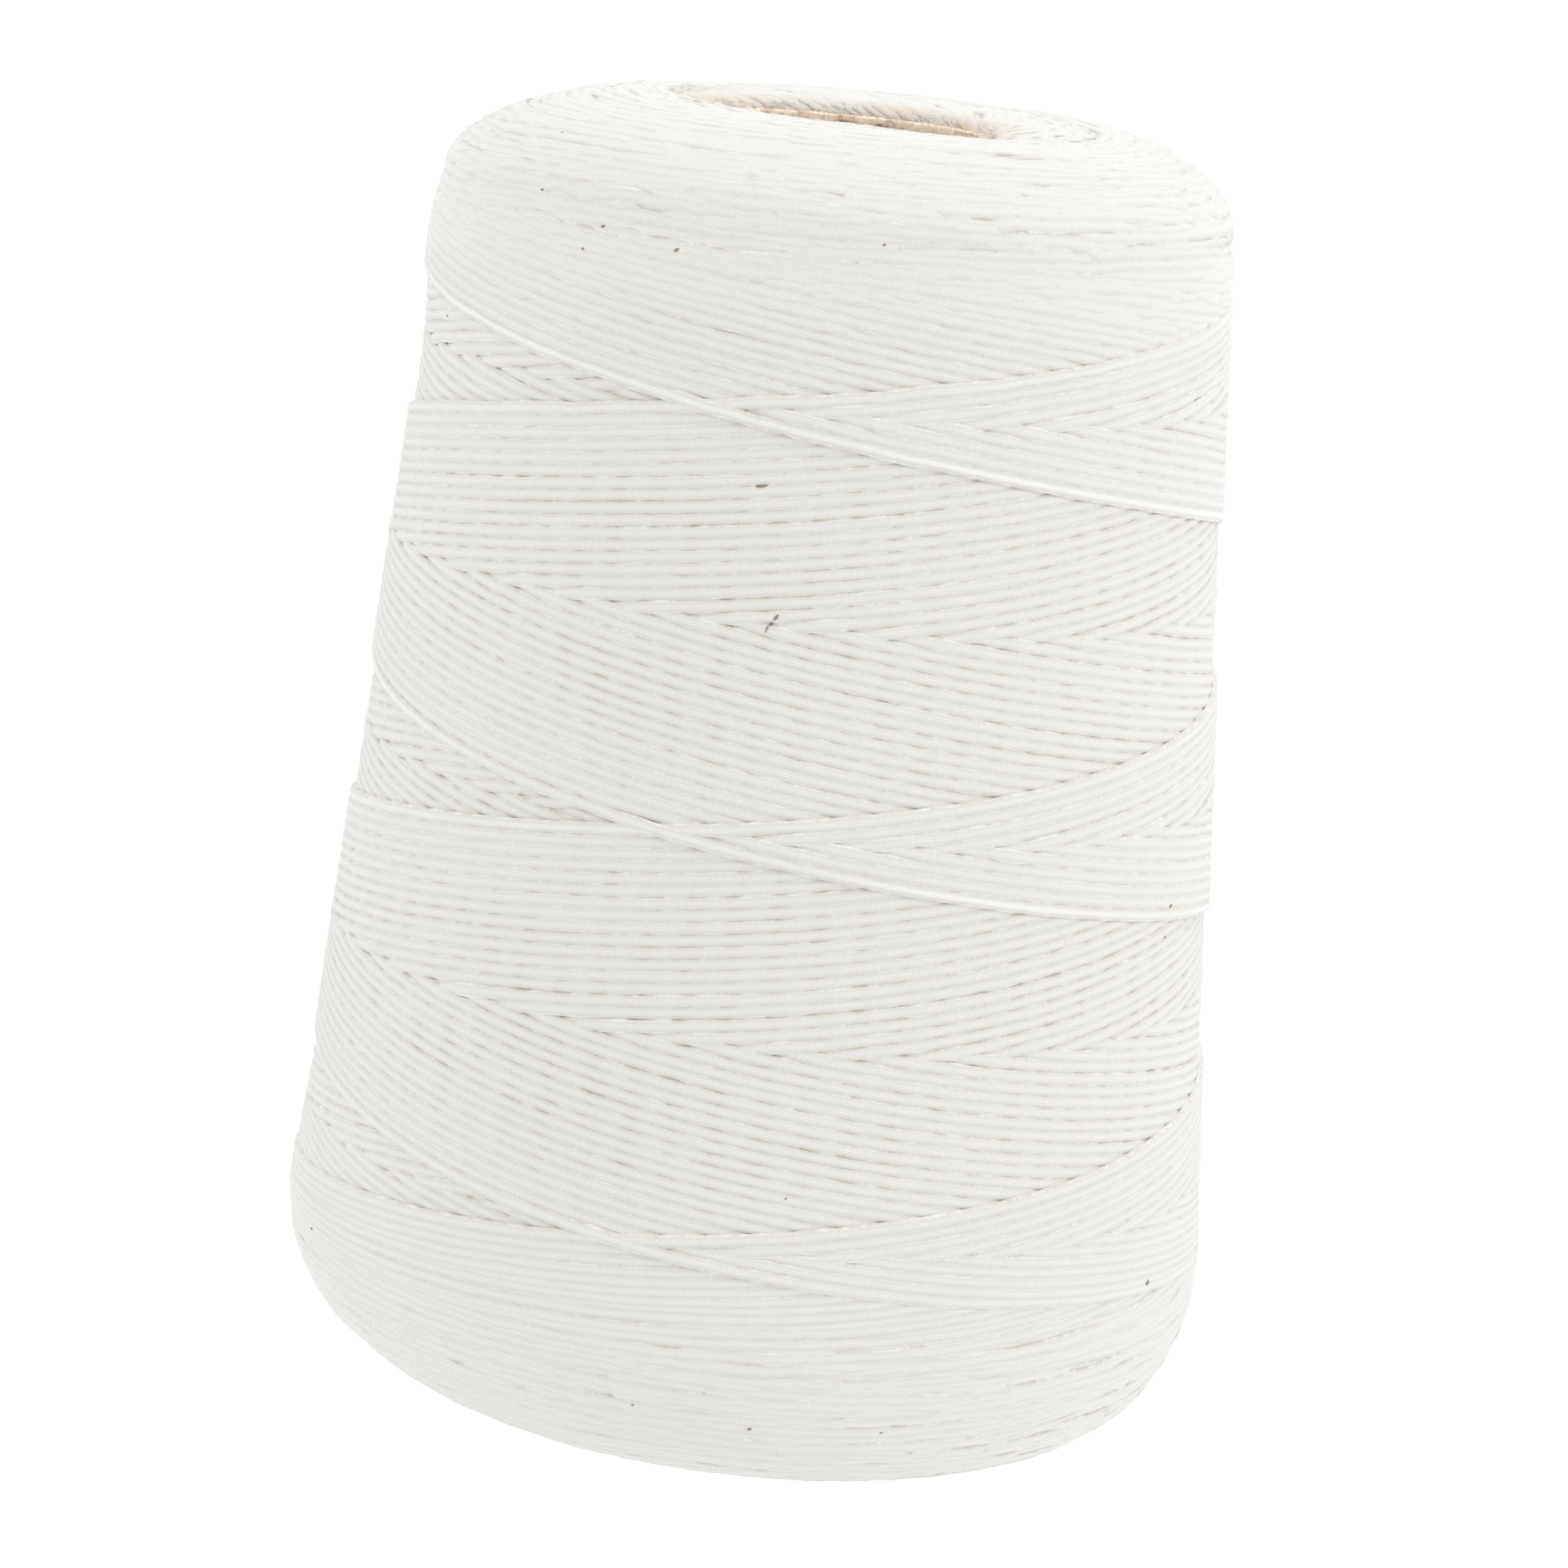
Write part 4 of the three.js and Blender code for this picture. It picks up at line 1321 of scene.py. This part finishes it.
seed_coat, tree = material("cotton_seed_coat")
tone = add(tree, "Attribute", {"attribute_name": "tone"})
grain = add(tree, "TexNoise", Scale=GRAINS / MM, Detail=2.0)
mixed = add(tree, "Mix", BLEND, Factor=tone.outputs["Fac"], A=linear("#A67E52"), B=linear("#6E6C6A"))
colour = add(tree, "Mix", BLEND, Factor=grain, A=mixed, B=linear("#8F8573"))
shader = add(tree, "BsdfPrincipled", Base_Color=colour, Roughness=0.7)
add(tree, "OutputMaterial", Surface=shader)
fleck_piece.data.materials.append(seed_coat)
print("cotton seed coat:", len(tree.nodes), "nodes")

# %% [markdown]
# ## Join the model
# Every piece rides on the imported model's one body, so it goes wherever the part goes. The twine takes the
# place of the plain wound solid, and the tube takes the place of the plain core.

# %% Ride on the model
for piece in twine_pieces + [twine_body, lint_piece, fleck_piece]:
    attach(piece, "root")
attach(core_piece, "root")
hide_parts("twine_winding")
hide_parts("paper_core")
print(len(twine_pieces) + 4, "pieces ride on the root body")

# %% [markdown]
# ## Floor and light
# White cotton on white needs care: with light from all round it turns flat, and with one lamp it turns
# harsh. A bright tent of light does most of the work, and three soft boxes shape it: a stronger one on the
# right, a weak one on the left, and one above for the crown. The floor is a lit sheet of white acrylic, so
# it stays pale and the cone casts only a faint shadow. A panorama of a studio could light it too, but lamps
# say plainly where the light comes from.

# %% Floor and light
FLOOR_REACH = 30000  # mm, so that its edge never shows
FLOOR_GLOW = 0.98
TENT_STRENGTH = 1.04
SOFTBOX = 0.9  # metres across

paint, tree = material("lit_white_acrylic")
shader = add(tree, "BsdfPrincipled", Base_Color=linear("#616161"), Roughness=0.8,
             Emission_Color=linear("#FFFFFF"), Emission_Strength=FLOOR_GLOW)
add(tree, "OutputMaterial", Surface=shader)
corners = [(x * FLOOR_REACH, y * FLOOR_REACH, 0) for x, y in ((-1, -1), (1, -1), (1, 1), (-1, 1))]
floor = mesh_piece("floor", corners, [(0, 1, 2, 3)], paint)

world = bpy.data.worlds.new("studio")
bpy.context.scene.world = world
world.use_nodes = True
tent = world.node_tree.nodes["Background"]
tent.inputs["Color"].default_value = linear("#FFFFFF")
tent.inputs["Strength"].default_value = TENT_STRENGTH


def area_light(name, place_at, aim, power):
    """A round soft box at a place in metres, aimed at a point, with its power in watts."""
    lamp = bpy.data.lights.new(name, "AREA")
    lamp.shape = "DISK"
    lamp.size = SOFTBOX
    lamp.energy = power
    box = new_object(name, lamp)
    box.location = place_at
    box.rotation_euler = (Vector(aim) - Vector(place_at)).to_track_quat("-Z", "Y").to_euler()


area_light("right_softbox", (1.3, -0.5, 0.7), (0, 0, 0.1), 5.6)
area_light("left_softbox", (-1.3, -0.4, 0.7), (0, 0, 0.1), 2.9)
area_light("top_softbox", (0.1, 0.1, 1.5), (0, 0, 0.15), 3.6)
bpy.context.scene.view_settings.view_transform = "Standard"
